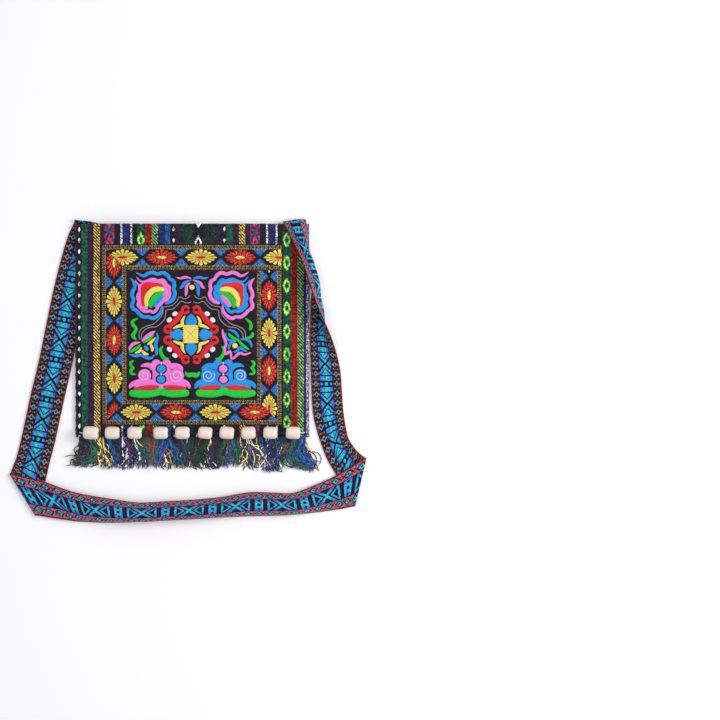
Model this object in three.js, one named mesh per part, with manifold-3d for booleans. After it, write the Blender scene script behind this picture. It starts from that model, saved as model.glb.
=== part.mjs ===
// A flat woven shoulder bag, lying on its back on a table with its strap laid round it.
// Millimetres, +Z up. X runs across the bag from its middle, Y from its lower edge to its mouth.
import * as THREE from "three";
import { mergeVertices } from "three/addons/utils/BufferGeometryUtils.js";
import Module from "manifold-3d";

const wasm = await Module();
wasm.setup();

// Pouch
const bag_width = 249;
const bag_height = 234;
const cloth = 1.3;
const hem_depth = 9;
const hem_layer = 1.0;
const hem_step = 0.5;
const hem_fade = 50;
const crown = 8;
const mouth_droop = 0.1;
const gap = 0.3;

// Strap
const strap_width = 36;
const strap_thickness = 1.4;
const fold_radius = 1.2;
const hump_lean = 1.5;
const overlap_at_mouth = 32;
const overlap_length = 122;
const overlap_margin = 14;
const overlap_ramp = 30;

// Embroidered square and the ribbon round it
const patch_size = 141;
const patch_thickness = 1.0;
const ribbon_width = 28.5;
const ribbon_thickness = 1.0;
const frame_x = 0;
const frame_y = 112.2;

// Beads and their thread
const bead_length = 15.5;
const bead_diameter = 13.5;
const bead_bore = 3.2;
const bead_sides = 12;
const bead_row = 5;
const thread_diameter = 1.3;
const thread_slack = 0.8;

// Fringe
const fringe_length = 35;
const fringe_head = 3;
const back_lock_height = 1.5;
const front_lock_height = 3.6;
const lock_width = 19;
const lock_edge = 0.4;
const lock_taper = 0.12;
const lock_bend = -0.12;
const tip_taper = 0.45;

// Bead places: x is a share of the bag's width, size a share of the bead's size
const bead_places = [
  { x: -0.442, size: 1.06 },
  { x: -0.348, size: 1.0 },
  { x: -0.25, size: 0.98 },
  { x: -0.135, size: 1.0 },
  { x: -0.04, size: 1.0 },
  { x: 0.06, size: 0.97 },
  { x: 0.155, size: 1.0 },
  { x: 0.25, size: 1.0 },
  { x: 0.346, size: 0.98 },
  { x: 0.446, size: 1.0 },
];

// Soft dents and swells of the front wall: x and y are shares of the bag's width and height from its
// lower left corner, long and wide are shares of its height, turn is in degrees, depth a share of the crown
const creases = [
  { x: 0.07, y: 0.62, long: 0.3, wide: 0.065, turn: 86, depth: -0.12 },
  { x: 0.93, y: 0.45, long: 0.34, wide: 0.065, turn: 93, depth: -0.14 },
  { x: 0.3, y: 0.955, long: 0.16, wide: 0.06, turn: 4, depth: 0.08 },
  { x: 0.72, y: 0.965, long: 0.14, wide: 0.06, turn: -6, depth: -0.1 },
  { x: 0.86, y: 0.9, long: 0.16, wide: 0.075, turn: -48, depth: 0.12 },
];

// Strap sections. The first and second edges' x and y are hundredths of the bag's width and height,
// their rise above the table is a share of the strap's width, over is 1 on the strap's own lower layer,
// and arch is the share of the band's spare width that bulges, plus to one face and minus to the other
const columns = ["x1", "y1", "rise1", "x2", "y2", "rise2", "over", "arch"];
const left_run = [
  [-51.9, 101.5, 0.13, -44.6, 100.9, 0.11, 0, 0],
  [-52.0, 101.8, 0.04, -44.3, 100.8, 0.02, 0, 0],
  [-52.2, 100.7, 0, -38.8, 98.6, 0, 0, 0],
  [-55.5, 92.6, 0, -41.5, 88.2, 0, 0, 0],
  [-60.3, 73.8, 0, -46.2, 70.1, 0, 0, 0],
  [-64.1, 55.0, 0, -49.8, 51.7, 0, 0, 0],
  [-67.7, 36.2, 0, -53.3, 33.4, 0, 0, 0],
  [-71.3, 20.2, 0, -56.8, 16.9, 0, 0, 0],
  [-75.1, 1.4, 0, -60.6, -1.9, 0, 0, 0],
  [-77.5, -9.0, 0, -63.2, -12.7, 0, 0, 0],
  [-79.2, -13.8, 0, -65.6, -24.0, 0, 0, 0],
  [-80.2, -16.9, 0, -68.7, -36.7, 0, 0, 0],
];
const lower_run = [
  [-80.2, -16.9, 0, -68.7, -36.7, 0, 1, 0],
  [-76.2, -18.1, 0, -64.7, -37.4, 0, 1, 0],
  [-71.3, -19.3, 0, -60.7, -38.1, 0, 1, 0],
  [-65.3, -20.9, 0, -55.9, -38.8, 0, 1, 0],
  [-58.5, -23.5, 0.06, -51.5, -39.4, 0, 0.6, -0.4],
  [-51.5, -25.9, 0.1, -46.2, -39.7, 0, 0.2, -0.75],
  [-43.9, -27.5, 0.13, -40.0, -40.0, 0, 0, -1],
  [-33.8, -29.1, 0.16, -31.1, -40.0, 0, 0, -1],
  [-23.2, -30.6, 0.18, -21.9, -39.6, 0, 0, -1],
  [-11.8, -30.0, 0.18, -11.7, -39.0, 0, 0, -1],
  [-1.1, -29.4, 0.18, -1.1, -38.4, 0, 0, -1],
  [13.0, -28.0, 0.18, 12.6, -37.6, 0, 0, -1],
  [25.4, -25.8, 0.14, 25.4, -37.0, 0, 0, -1],
  [36.4, -26.0, 0.14, 37.3, -36.7, 0, 0, -1],
  [44.4, -26.2, 0.14, 47.0, -36.1, 0, 0, -1],
  [52.3, -23.3, 0.1, 55.4, -35.1, 0, 0.2, -0.75],
  [58.1, -20.7, 0.04, 61.2, -34.3, 0, 0.7, -0.4],
  [63.4, -18.1, 0, 65.6, -33.7, 0, 1, 0],
  [69.6, -13.9, 0, 68.5, -33.1, 0, 1, 0],
  [76.2, -9.7, 0, 71.2, -32.4, 0, 1, 0],
];
const right_run = [
  [76.2, -9.7, 0, 71.2, -32.4, 0, 0, 0],
  [72.9, -6.8, 0, 66.3, -23.5, 0, 0, 0],
  [70.7, -3.8, 0, 63.2, -17.2, 0, 0, 0],
  [68.7, 0.0, 0, 59.6, -10.6, 0, 0, 0],
  [67.5, 6.1, 0, 56.1, -0.9, 0, 0, 0],
  [66.6, 12.6, 0, 53.4, 10.3, 0, 0, 0],
  [66.0, 22.1, 0, 52.6, 21.6, 0, 0, 0],
  [65.4, 30.6, 0, 52.3, 31.0, 0, 0, 0],
  [63.8, 38.6, 0.08, 52.1, 39.5, 0, 0, -0.4],
  [61.2, 47.0, 0.28, 51.9, 47.5, 0, 0, -0.8],
  [57.6, 55.9, 0.5, 52.1, 55.9, 0, 0, -0.92],
  [54.3, 64.4, 0.64, 52.3, 64.4, 0.01, 0, -0.74],
  [51.7, 72.4, 0.58, 53.2, 71.9, 0.03, 0, -0.62],
  [49.0, 80.9, 0.42, 53.2, 79.5, 0.07, 0, -0.42],
  [46.2, 87.9, 0.3, 51.6, 87.0, 0.12, 0, -0.36],
  [43.1, 94.5, 0.22, 51.0, 94.5, 0.16, 0, -0.3],
  [40.8, 99.2, 0.21, 50.5, 99.2, 0.18, 0, -0.22],
  [40.2, 100.8, 0.15, 50.0, 101.8, 0.15, 0, -0.1],
  [40.2, 100.8, 0.03, 50.0, 101.5, 0.03, 0, 0],
];

const colours = {
  stripe: 0x20403c,
  ground: 0x2d2028,
  ribbon: 0x231c1a,
  wood: 0xebdcc8,
  thread: 0xd8d4cc,
  fringe: 0x2a4a66,
  strap: 0x2a6f9c,
};
const cloth_roughness = 0.92;
const wood_roughness = 0.6;

function finish(colour, roughness) {
  return new THREE.MeshStandardMaterial({ color: colour, roughness, metalness: 0 });
}

function piece(name, geometry, material) {
  const mesh = new THREE.Mesh(geometry, material);
  mesh.name = name;
  return mesh;
}

const clamp01 = (t) => THREE.MathUtils.clamp(t, 0, 1);
const smooth = (t) => THREE.MathUtils.smoothstep(t, 0, 1);

// Height of the back wall over the table: it rides up where the strap passes beneath its upper left edge,
// and comes down to the table over a ramp
function lift(x, y) {
  const from_mouth = (bag_height - y) / overlap_length;
  const covered = overlap_at_mouth * clamp01(1 - from_mouth) + overlap_margin;
  const inside = x + bag_width / 2 - covered;
  const rise = strap_thickness + 2 * gap;
  const below = (bag_height - y - overlap_length - overlap_margin) / (2 * overlap_ramp);
  return rise * (1 - smooth(inside / overlap_ramp)) * (1 - smooth(below));
}

function crease_depth(x, y) {
  let depth = 0;
  for (const crease of creases) {
    const turn = THREE.MathUtils.degToRad(crease.turn);
    const dx = x - (crease.x - 0.5) * bag_width;
    const dy = y - crease.y * bag_height;
    const along = (dx * Math.cos(turn) + dy * Math.sin(turn)) / (crease.long * bag_height);
    const across = (dy * Math.cos(turn) - dx * Math.sin(turn)) / (crease.wide * bag_height);
    depth += crease.depth * crown * Math.exp(-along * along - across * across);
  }
  return depth;
}

// Height of the hollow between the two walls
function hollow(x, y) {
  const across = clamp01(Math.abs(2 * x) / bag_width);
  const up = clamp01(y / bag_height);
  const side_fall = 1 - across ** 4;
  const swell = 1 - (1 - up) ** 4 - mouth_droop * up ** 4;
  return gap + side_fall * (crown * swell + up * crease_depth(x, y));
}

const back_top = (x, y) => lift(x, y) + cloth;
const front_top = (x, y) => back_top(x, y) + hollow(x, y) + cloth;

// A closed sheet: place(u, v, side) gives a corner, side 0 below and 1 above
function sheet(u_steps, v_steps, place) {
  const points = [];
  const faces = [];
  const row = v_steps + 1;
  const layer = (u_steps + 1) * row;
  for (const side of [0, 1]) {
    for (let i = 0; i <= u_steps; i += 1) {
      for (let j = 0; j <= v_steps; j += 1) {
        points.push(...place(i / u_steps, j / v_steps, side).toArray());
      }
    }
  }
  const quad = (a, b, c, d) => faces.push(a, b, c, a, c, d);
  for (let i = 0; i < u_steps; i += 1) {
    for (let j = 0; j < v_steps; j += 1) {
      const a = i * row + j;
      quad(a, a + 1, a + row + 1, a + row);
      quad(layer + a, layer + a + row, layer + a + row + 1, layer + a + 1);
    }
    const start = i * row;
    const end = start + v_steps;
    quad(start, start + row, layer + start + row, layer + start);
    quad(end, layer + end, layer + end + row, end + row);
  }
  for (let j = 0; j < v_steps; j += 1) {
    const far = u_steps * row + j;
    quad(j, layer + j, layer + j + 1, j + 1);
    quad(far, far + 1, layer + far + 1, layer + far);
  }
  const geometry = new THREE.BufferGeometry();
  geometry.setAttribute("position", new THREE.Float32BufferAttribute(points, 3));
  geometry.setIndex(faces);
  geometry.computeVertexNormals();
  return geometry;
}

// The folded hem doubles the wall on its inner side, from the mouth down to the hem's depth
const hem = (y) => (y > bag_height - hem_depth ? hem_layer : 0);

// Shares of the height at which a wall is divided, with one step of the table at the hem's edge
function wall_rows(count) {
  const hem_share = 1 - hem_depth / bag_height;
  const rows = [];
  for (let i = 0; i <= count; i += 1) {
    rows.push((i / count) * hem_share);
  }
  rows.push(hem_share + hem_step / bag_height, 1);
  return rows;
}

function back_panel() {
  const rows = wall_rows(13);
  const place = (u, v, side) => {
    const x = (u - 0.5) * bag_width;
    const y = rows[Math.round(v * (rows.length - 1))] * bag_height;
    const z = side ? back_top(x, y) + hem(y) * edge_room(x) : lift(x, y);
    return new THREE.Vector3(x, y, z);
  };
  return sheet(12, rows.length - 1, place);
}

// The hems thin out to nothing at the side seams, where the two walls meet
function edge_room(x) {
  return smooth((bag_width / 2 - Math.abs(x)) / hem_fade);
}

function front_panel() {
  const rows = wall_rows(16);
  const place = (u, v, side) => {
    const x = (u - 0.5) * bag_width;
    const y = rows[Math.round(v * (rows.length - 1))] * bag_height;
    const z = side ? front_top(x, y) : front_top(x, y) - cloth - hem(y) * edge_room(x);
    return new THREE.Vector3(x, y, z);
  };
  return sheet(20, rows.length - 1, place);
}

// A flat piece that lies on the front wall: plan(u, v) gives its x and y
function laid_on_front(u_steps, v_steps, thickness, plan) {
  return sheet(u_steps, v_steps, (u, v, side) => {
    const at = plan(u, v);
    const z = front_top(at.x, at.y) + gap + side * thickness;
    return new THREE.Vector3(at.x, at.y, z);
  });
}

function embroidered_panel() {
  const size = patch_size - 2 * gap;
  return laid_on_front(11, 12, patch_thickness, (u, v) => {
    return { x: frame_x + (u - 0.5) * size, y: frame_y + (v - 0.5) * size };
  });
}

// One length of ribbon. turn is the side of the square in quarter turns from its lower side,
// and start and end are the ends' cuts: 1 is a mitre, 0 runs on to the outer edge, 2 stops at a ribbon
function ribbon(turn, start, end) {
  const inner = patch_size / 2;
  const outer = inner + ribbon_width;
  const cut = (kind, v) => (kind === 0 ? outer : kind === 2 ? inner : outer - v * ribbon_width);
  return laid_on_front(18, 3, ribbon_thickness, (u, v) => {
    const from = cut(start, v) - gap / 2;
    const to = cut(end, v) - gap / 2;
    const along = -from + u * (from + to);
    const across = -outer + v * ribbon_width;
    const quarter = (turn * Math.PI) / 2;
    const x = along * Math.cos(quarter) - across * Math.sin(quarter);
    const y = along * Math.sin(quarter) + across * Math.cos(quarter);
    return { x: frame_x + x, y: frame_y + y };
  });
}

function bead_height(x, size) {
  const radius = (bead_diameter * size) / 2;
  return front_top(x, bead_row + radius / 2) + gap + radius;
}

// A turned barrel with rounded shoulders and a bore, its axis along X
function bead(size) {
  const radius = (bead_diameter * size) / 2;
  const half = (bead_length * size) / 2;
  const bore = bead_bore / 2;
  const profile = [
    [bore, -half],
    [radius * 0.62, -half],
    [radius * 0.9, -half * 0.78],
    [radius, -half * 0.3],
    [radius, half * 0.3],
    [radius * 0.9, half * 0.78],
    [radius * 0.62, half],
    [bore, half],
    [bore, -half],
  ].map(([r, along]) => new THREE.Vector2(r, along));
  const geometry = new THREE.LatheGeometry(profile, bead_sides);
  geometry.rotateZ(-Math.PI / 2);
  return geometry;
}

function add_beads(group) {
  const wood = finish(colours.wood, wood_roughness);
  bead_places.forEach((place, i) => {
    const name = `bead_${String(i + 1).padStart(2, "0")}`;
    const mesh = piece(name, bead(place.size), wood.clone());
    const x = place.x * bag_width;
    mesh.position.set(x, bead_row, bead_height(x, place.size));
    group.add(mesh);
  });
}

// The thread starts on the cloth at the left edge, runs through every bore and ends at the right edge
function bead_thread() {
  const radius = thread_diameter / 2;
  const edge = bag_width / 2 - 1;
  const seat = (x) => front_top(x, bead_row) + gap + radius;
  const route = [new THREE.Vector3(-edge, bead_row, seat(-edge))];
  for (const place of bead_places) {
    const x = place.x * bag_width;
    const half = (bead_length * place.size) / 2 + thread_slack;
    const height = bead_height(x, place.size);
    route.push(new THREE.Vector3(x - half, bead_row, height));
    route.push(new THREE.Vector3(x + half, bead_row, height));
  }
  route.push(new THREE.Vector3(edge, bead_row, seat(edge)));
  const section = new THREE.Shape().absarc(0, 0, radius, 0, 2 * Math.PI, false);
  const path = new THREE.CatmullRomCurve3(route, false, "centripetal");
  const options = { steps: 44, curveSegments: 3, bevelEnabled: false, extrudePath: path };
  return new THREE.ExtrudeGeometry(section, options);
}

function solid(geometry) {
  const plain = geometry.clone();
  for (const name of ["normal", "uv"]) {
    plain.deleteAttribute(name);
  }
  const merged = mergeVertices(plain, 1e-5);
  const vertProperties = Float32Array.from(merged.attributes.position.array);
  const triVerts = Uint32Array.from(merged.index.array);
  return new wasm.Manifold(new wasm.Mesh({ numProp: 3, vertProperties, triVerts }));
}

function geometry_of(body) {
  const mesh = body.getMesh();
  const geometry = new THREE.BufferGeometry();
  const points = new THREE.Float32BufferAttribute(mesh.vertProperties, 3);
  geometry.setAttribute("position", points);
  geometry.setIndex(Array.from(mesh.triVerts));
  return geometry;
}

// One lock of warp ends, domed above and flat below, from its root in the head to its tip
function lock(root_x, tip_x, length, width, base, height) {
  const outline = [
    [-1, 0],
    [-0.5, 1],
    [0.5, 1],
    [1, 0],
  ];
  const stations = 5;
  const ring = outline.length - 1;
  const lean = tip_x - root_x;
  const root_y = -gap - fringe_head / 3;
  return sheet(stations, ring, (u, v, side) => {
    const [across, up] = outline[Math.round(v * ring)];
    const half_width = (width / 2) * (1 - lock_taper * u - tip_taper * u ** 5);
    const bend = lock_bend * lean * Math.sin(u * Math.PI);
    const x = root_x + lean * u + bend + across * half_width;
    const y = root_y - (length + root_y) * u;
    const dome = up * (height - lock_edge) * (1 - tip_taper * u * u);
    return new THREE.Vector3(x, y, base + side * (lock_edge + dome));
  });
}

// A head strip along the cut edge, with its locks fused to it
function fringe(places, base, height, head_height) {
  const half = bag_width / 2;
  let body = solid(
    sheet(1, 1, (u, v, side) => {
      const x = -half + u * bag_width;
      const y = -gap - fringe_head * (1 - v);
      return new THREE.Vector3(x, y, base + side * head_height);
    }),
  );
  for (const place of places) {
    const root_x = place.x * half;
    const tip_x = root_x + place.lean * lock_width;
    const length = place.long * fringe_length;
    const one = lock(root_x, tip_x, length, place.wide * lock_width, base, height);
    body = body.add(solid(one));
  }
  return geometry_of(body);
}

// Locks: x is a share of half the bag's width, lean and wide are shares of a lock's width,
// and long is a share of the fringe's length
const front_locks = [
  { x: -0.93, lean: -0.9, long: 0.92, wide: 0.8 },
  { x: -0.8, lean: 0.2, long: 1.0, wide: 1.15 },
  { x: -0.63, lean: -0.2, long: 0.93, wide: 1.1 },
  { x: -0.46, lean: 0.25, long: 0.97, wide: 1.15 },
  { x: -0.29, lean: -0.15, long: 0.92, wide: 1.1 },
  { x: -0.12, lean: 0.15, long: 0.98, wide: 1.15 },
  { x: 0.05, lean: -0.2, long: 0.94, wide: 1.15 },
  { x: 0.22, lean: 0.2, long: 1.0, wide: 1.1 },
  { x: 0.39, lean: -0.1, long: 0.95, wide: 1.15 },
  { x: 0.56, lean: 0.25, long: 0.98, wide: 1.1 },
  { x: 0.74, lean: 0.1, long: 1.08, wide: 1.2 },
  { x: 0.92, lean: 1.15, long: 1.02, wide: 0.8 },
];
const back_locks = [
  { x: -0.9, lean: -0.7, long: 0.95, wide: 1.1 },
  { x: -0.7, lean: 0.3, long: 1.03, wide: 1.2 },
  { x: -0.5, lean: -0.25, long: 0.98, wide: 1.25 },
  { x: -0.3, lean: 0.2, long: 1.03, wide: 1.25 },
  { x: -0.1, lean: -0.2, long: 0.97, wide: 1.2 },
  { x: 0.1, lean: 0.2, long: 1.02, wide: 1.25 },
  { x: 0.3, lean: -0.25, long: 0.99, wide: 1.2 },
  { x: 0.5, lean: 0.25, long: 1.03, wide: 1.25 },
  { x: 0.7, lean: -0.1, long: 1.07, wide: 1.2 },
  { x: 0.9, lean: 0.6, long: 1.1, wide: 1.1 },
];

// A strap section: its two edges in space, and how it arches between them
function section_at(row) {
  const value = Object.fromEntries(columns.map((name, i) => [name, row[i]]));
  const base = strap_thickness / 2 + value.over * 2 * fold_radius;
  const edge = (x, y, rise) => {
    return new THREE.Vector3((x * bag_width) / 100, (y * bag_height) / 100, base + rise * strap_width);
  };
  const first = edge(value.x1, value.y1, value.rise1);
  const second = edge(value.x2, value.y2, value.rise2);
  return { first, second, arch: value.arch };
}

// Sections between the rows of a run, each column on a smooth curve through the rows
function sections_of(rows, steps) {
  const sections = [];
  const last = rows.length - 1;
  for (let i = 0; i < last; i += 1) {
    for (let k = 0; k < steps; k += 1) {
      const t = k / steps;
      const row = columns.map((name, c) => {
        const around = [Math.max(i - 1, 0), i, i + 1, Math.min(i + 2, last)];
        return catmull(t, ...around.map((r) => rows[r][c]));
      });
      sections.push(section_at(row));
    }
  }
  sections.push(section_at(rows[last]));
  return sections;
}

function catmull(t, a, b, c, d) {
  const slope_b = (c - a) / 2;
  const slope_c = (d - b) / 2;
  const cubic = 2 * b - 2 * c + slope_b + slope_c;
  const square = -3 * b + 3 * c - 2 * slope_b - slope_c;
  return ((cubic * t + square) * t + slope_b) * t + b;
}

// The band turns over along a section, outwards in the direction that it runs: way is 1 up, -1 down
function fold_at(row, before, way) {
  const lower = section_at(row.map((value, c) => (columns[c] === "over" ? 0 : value)));
  const ruling = new THREE.Vector3().subVectors(lower.second, lower.first);
  const out = new THREE.Vector3(-ruling.y, ruling.x, 0).normalize();
  const run = new THREE.Vector3().subVectors(lower.first, before.first);
  if (out.dot(run) < 0) {
    out.negate();
  }
  return [-45, 0, 45].map((degrees) => {
    const angle = THREE.MathUtils.degToRad(degrees * way);
    const shift = out.clone().multiplyScalar(fold_radius * Math.cos(angle));
    shift.z = fold_radius * (1 + Math.sin(angle));
    return { first: lower.first.clone().add(shift), second: lower.second.clone().add(shift), arch: 0 };
  });
}

function strap_sections() {
  const left = sections_of(left_run, 1);
  const lower = sections_of(lower_run, 2);
  const right = sections_of(right_run, 2);
  const up = fold_at(left_run[left_run.length - 1], left[left.length - 2], 1);
  const down = fold_at(right_run[0], lower[lower.length - 2], -1);
  return [...left, ...up, ...lower, ...down, ...right];
}

const fine_steps = 24;

// Points across one section. The band keeps its width, so where its edges lie near each other
// it arches to one side, more towards the second edge
function across_section(section, run, count) {
  const chord = new THREE.Vector3().subVectors(section.second, section.first);
  const normal = new THREE.Vector3().crossVectors(run, chord);
  const square = normal.length() / chord.length();
  normal.normalize().multiplyScalar(Math.sign(section.arch));
  const wanted = strap_width / square;
  const curve = (height) => {
    const points = [];
    for (let i = 0; i <= fine_steps; i += 1) {
      const v = i / fine_steps;
      const bulge = height * Math.sin(Math.PI * v ** hump_lean);
      points.push(section.first.clone().addScaledVector(chord, v).addScaledVector(normal, bulge));
    }
    return points;
  };
  const length = (points) => points.slice(1).reduce((sum, p, i) => sum + p.distanceTo(points[i]), 0);
  let low = 0;
  let high = strap_width / 2;
  for (let i = 0; i < fine_steps; i += 1) {
    const middle = (low + high) / 2;
    if (length(curve(middle)) < wanted) {
      low = middle;
    } else {
      high = middle;
    }
  }
  const points = curve(low * Math.abs(section.arch));
  return spaced(points, length(points), count);
}

// Points evenly spaced along a fine line
function spaced(line, total, count) {
  const out = [line[0].clone()];
  let walked = 0;
  let next = 1;
  for (let i = 1; i < line.length; i += 1) {
    const step = line[i].distanceTo(line[i - 1]);
    while (next < count && walked + step >= (total * next) / count) {
      const t = ((total * next) / count - walked) / step;
      out.push(line[i - 1].clone().lerp(line[i], t));
      next += 1;
    }
    walked += step;
  }
  out.push(line[line.length - 1].clone());
  return out;
}

function strap() {
  const across = 6;
  const sections = strap_sections();
  const middles = sections.map((s) => s.first.clone().lerp(s.second, 0.5));
  const last = sections.length - 1;
  const table = strap_thickness / 2;
  const grid = sections.map((section, i) => {
    const from = middles[Math.max(i - 1, 0)];
    const to = middles[Math.min(i + 1, last)];
    const run = to.clone().sub(from).normalize();
    const points = across_section(section, run, across);
    points.forEach((point) => point.setZ(Math.max(point.z, table)));
    return points;
  });
  return sheet(last, across, (u, v, side) => {
    const i = Math.round(u * last);
    const j = Math.round(v * across);
    const along = grid[Math.min(i + 1, last)][j].clone().sub(grid[Math.max(i - 1, 0)][j]);
    const wide = grid[i][Math.min(j + 1, across)].clone().sub(grid[i][Math.max(j - 1, 0)]);
    const normal = along.cross(wide).normalize();
    return grid[i][j].clone().addScaledVector(normal, (side - 0.5) * strap_thickness);
  });
}

const bag = new THREE.Group();
bag.add(piece("back_panel", back_panel(), finish(colours.stripe, cloth_roughness)));
bag.add(piece("front_panel", front_panel(), finish(colours.stripe, cloth_roughness)));
bag.add(piece("embroidered_panel", embroidered_panel(), finish(colours.ground, cloth_roughness)));
bag.add(piece("trim_bottom", ribbon(0, 1, 1), finish(colours.ribbon, cloth_roughness)));
bag.add(piece("trim_right", ribbon(1, 1, 2), finish(colours.ribbon, cloth_roughness)));
bag.add(piece("trim_top", ribbon(2, 0, 1), finish(colours.ribbon, cloth_roughness)));
bag.add(piece("trim_left", ribbon(3, 1, 1), finish(colours.ribbon, cloth_roughness)));
add_beads(bag);
bag.add(piece("bead_thread", bead_thread(), finish(colours.thread, cloth_roughness)));
const front_base = back_lock_height + gap;
const fringe_finish = () => finish(colours.fringe, cloth_roughness);
const front_fringe = fringe(front_locks, front_base, front_lock_height, cloth);
const back_fringe = fringe(back_locks, 0, back_lock_height, cloth);
bag.add(piece("fringe_front", front_fringe, fringe_finish()));
bag.add(piece("fringe_back", back_fringe, fringe_finish()));
bag.add(piece("strap", strap(), finish(colours.strap, cloth_roughness)));

// The origin is the middle of the foot of the whole object's box
const box = new THREE.Box3().setFromObject(bag, true);
bag.position.set(-(box.min.x + box.max.x) / 2, -(box.min.y + box.max.y) / 2, -box.min.z);
const object = new THREE.Group();
object.add(bag);
object.updateMatrixWorld(true);

export default object;
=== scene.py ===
"""A woven shoulder bag that lies on its back with its strap laid round it.

Sizes are millimetres in the bag's own frame: X from its middle, Y up from its lower edge,
Z up from the table. Each finished piece is then moved to the metres of the loaded frame.
"""

import math
import random

import bmesh
import bpy
from mathutils import Matrix, Vector


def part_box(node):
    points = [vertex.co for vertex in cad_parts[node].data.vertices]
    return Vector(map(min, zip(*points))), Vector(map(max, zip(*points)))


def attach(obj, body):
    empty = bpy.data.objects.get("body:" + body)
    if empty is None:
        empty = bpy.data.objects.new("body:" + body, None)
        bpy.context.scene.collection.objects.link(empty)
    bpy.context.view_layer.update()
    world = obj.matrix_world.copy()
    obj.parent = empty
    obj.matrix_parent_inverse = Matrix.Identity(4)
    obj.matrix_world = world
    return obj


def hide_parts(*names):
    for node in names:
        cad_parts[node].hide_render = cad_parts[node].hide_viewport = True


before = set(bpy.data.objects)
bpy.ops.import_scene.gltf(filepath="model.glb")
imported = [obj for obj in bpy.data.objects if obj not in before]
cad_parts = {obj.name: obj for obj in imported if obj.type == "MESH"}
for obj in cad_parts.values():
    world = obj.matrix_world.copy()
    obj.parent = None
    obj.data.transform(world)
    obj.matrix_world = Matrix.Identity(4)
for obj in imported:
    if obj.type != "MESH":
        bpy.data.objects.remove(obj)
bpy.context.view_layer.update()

MM = 0.001

# Pouch
BAG_WIDTH = 249.0
BAG_HEIGHT = 234.0
HALF_WIDTH = BAG_WIDTH / 2
CLOTH = 1.3
HEM_DEPTH = 9.0
HEM_LAYER = 1.0
HEM_FADE = 50.0
CROWN = 8.0
MOUTH_DROOP = 0.1
GAP = 0.3

# Strap
STRAP_WIDTH = 36.0
STRAP_THICKNESS = 1.4
FOLD_RADIUS = 1.2
HUMP_LEAN = 1.5
OVERLAP_AT_MOUTH = 32.0
OVERLAP_LENGTH = 122.0
OVERLAP_MARGIN = 14.0
OVERLAP_RAMP = 30.0

# The walls' woven edges stand past the side seams; the left one is ragged, in waves of these pitches
SELVEDGE_LEFT = 3.6
SELVEDGE_RIGHT = 4.0
SELVEDGE_START = 0.6
SELVEDGE_RAG = 0.7
RAG_WAVES = (0.9, 0.37)
WALL_STEPS = (120, 112)

# Embroidered square and the ribbon round it
PATCH_SIZE = 141.0
PATCH_THICKNESS = 1.0
PATCH_STEPS = 72
RIBBON_WIDTH = 28.5
RIBBON_THICKNESS = 1.0
RIBBON_STEPS = (90, 12)
FRAME_X = 0.0
FRAME_Y = 112.2

# Beads and their thread
BEAD_LENGTH = 15.5
BEAD_DIAMETER = 13.5
BEAD_ROW = 5.0
THREAD_DIAMETER = 1.3
THREAD_SLACK = 0.8
THREAD_SIDES = 10
THREAD_SHOWS = HALF_WIDTH - 9.0
BEAD_TILT = 5

# Fringe
FRINGE_LENGTH = 35.0
BACK_LOCK_HEIGHT = 1.5
FRONT_LOCK_HEIGHT = 3.6
LOCK_WIDTH = 19.0

# The bag's own frame: its middle line, its lower edge and the table
back_low, back_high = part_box("back_panel")
BAG_ORIGIN = Vector(((back_low.x + back_high.x) / 2, back_low.y, 0))


def clamp01(value):
    return min(1.0, max(0.0, value))


def smooth(value):
    share = clamp01(value)
    return share * share * (3 - 2 * share)


# Pouch surfaces

# Soft dents and swells of the front wall: x, y are shares of the bag from its lower left corner,
# long and wide are shares of its height, turn is in degrees, depth a share of the crown
CREASE_COLUMNS = ("x", "y", "long", "wide", "turn", "depth")
CREASES = [
    (0.07, 0.62, 0.3, 0.065, 86, -0.12),
    (0.93, 0.45, 0.34, 0.065, 93, -0.14),
    (0.3, 0.955, 0.16, 0.06, 4, 0.08),
    (0.72, 0.965, 0.14, 0.06, -6, -0.1),
    (0.86, 0.9, 0.16, 0.075, -48, 0.12),
]


def rows_of(columns, rows):
    return [dict(zip(columns, row)) for row in rows]


CREASE_ROWS = rows_of(CREASE_COLUMNS, CREASES)


def lift(x, y):
    """Rise of the pouch where the strap runs under its upper left side."""
    from_mouth = (BAG_HEIGHT - y) / OVERLAP_LENGTH
    covered = OVERLAP_AT_MOUTH * clamp01(1 - from_mouth) + OVERLAP_MARGIN
    inside = x + HALF_WIDTH - covered
    rise = STRAP_THICKNESS + 2 * GAP
    below = (BAG_HEIGHT - y - OVERLAP_LENGTH - OVERLAP_MARGIN) / (2 * OVERLAP_RAMP)
    return rise * (1 - smooth(inside / OVERLAP_RAMP)) * (1 - smooth(below))


def crease_depth(x, y):
    depth = 0.0
    for crease in CREASE_ROWS:
        turn = math.radians(crease["turn"])
        dx = x - (crease["x"] - 0.5) * BAG_WIDTH
        dy = y - crease["y"] * BAG_HEIGHT
        along = (dx * math.cos(turn) + dy * math.sin(turn)) / (crease["long"] * BAG_HEIGHT)
        across = (dy * math.cos(turn) - dx * math.sin(turn)) / (crease["wide"] * BAG_HEIGHT)
        depth += crease["depth"] * CROWN * math.exp(-along * along - across * across)
    return depth


def hollow(x, y):
    """Height of the empty pouch between its two walls."""
    across = clamp01(abs(2 * x) / BAG_WIDTH)
    up = clamp01(y / BAG_HEIGHT)
    side_fall = 1 - across**4
    swell = 1 - (1 - up) ** 4 - MOUTH_DROOP * up**4
    return GAP + side_fall * (CROWN * swell + up * crease_depth(x, y))


def back_top(x, y):
    return lift(x, y) + CLOTH


def front_top(x, y):
    return back_top(x, y) + hollow(x, y) + CLOTH


def laid_top(x, y):
    """Top of the cloth and ribbons that are sewn on the front wall."""
    return front_top(x, y) + GAP + PATCH_THICKNESS


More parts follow.
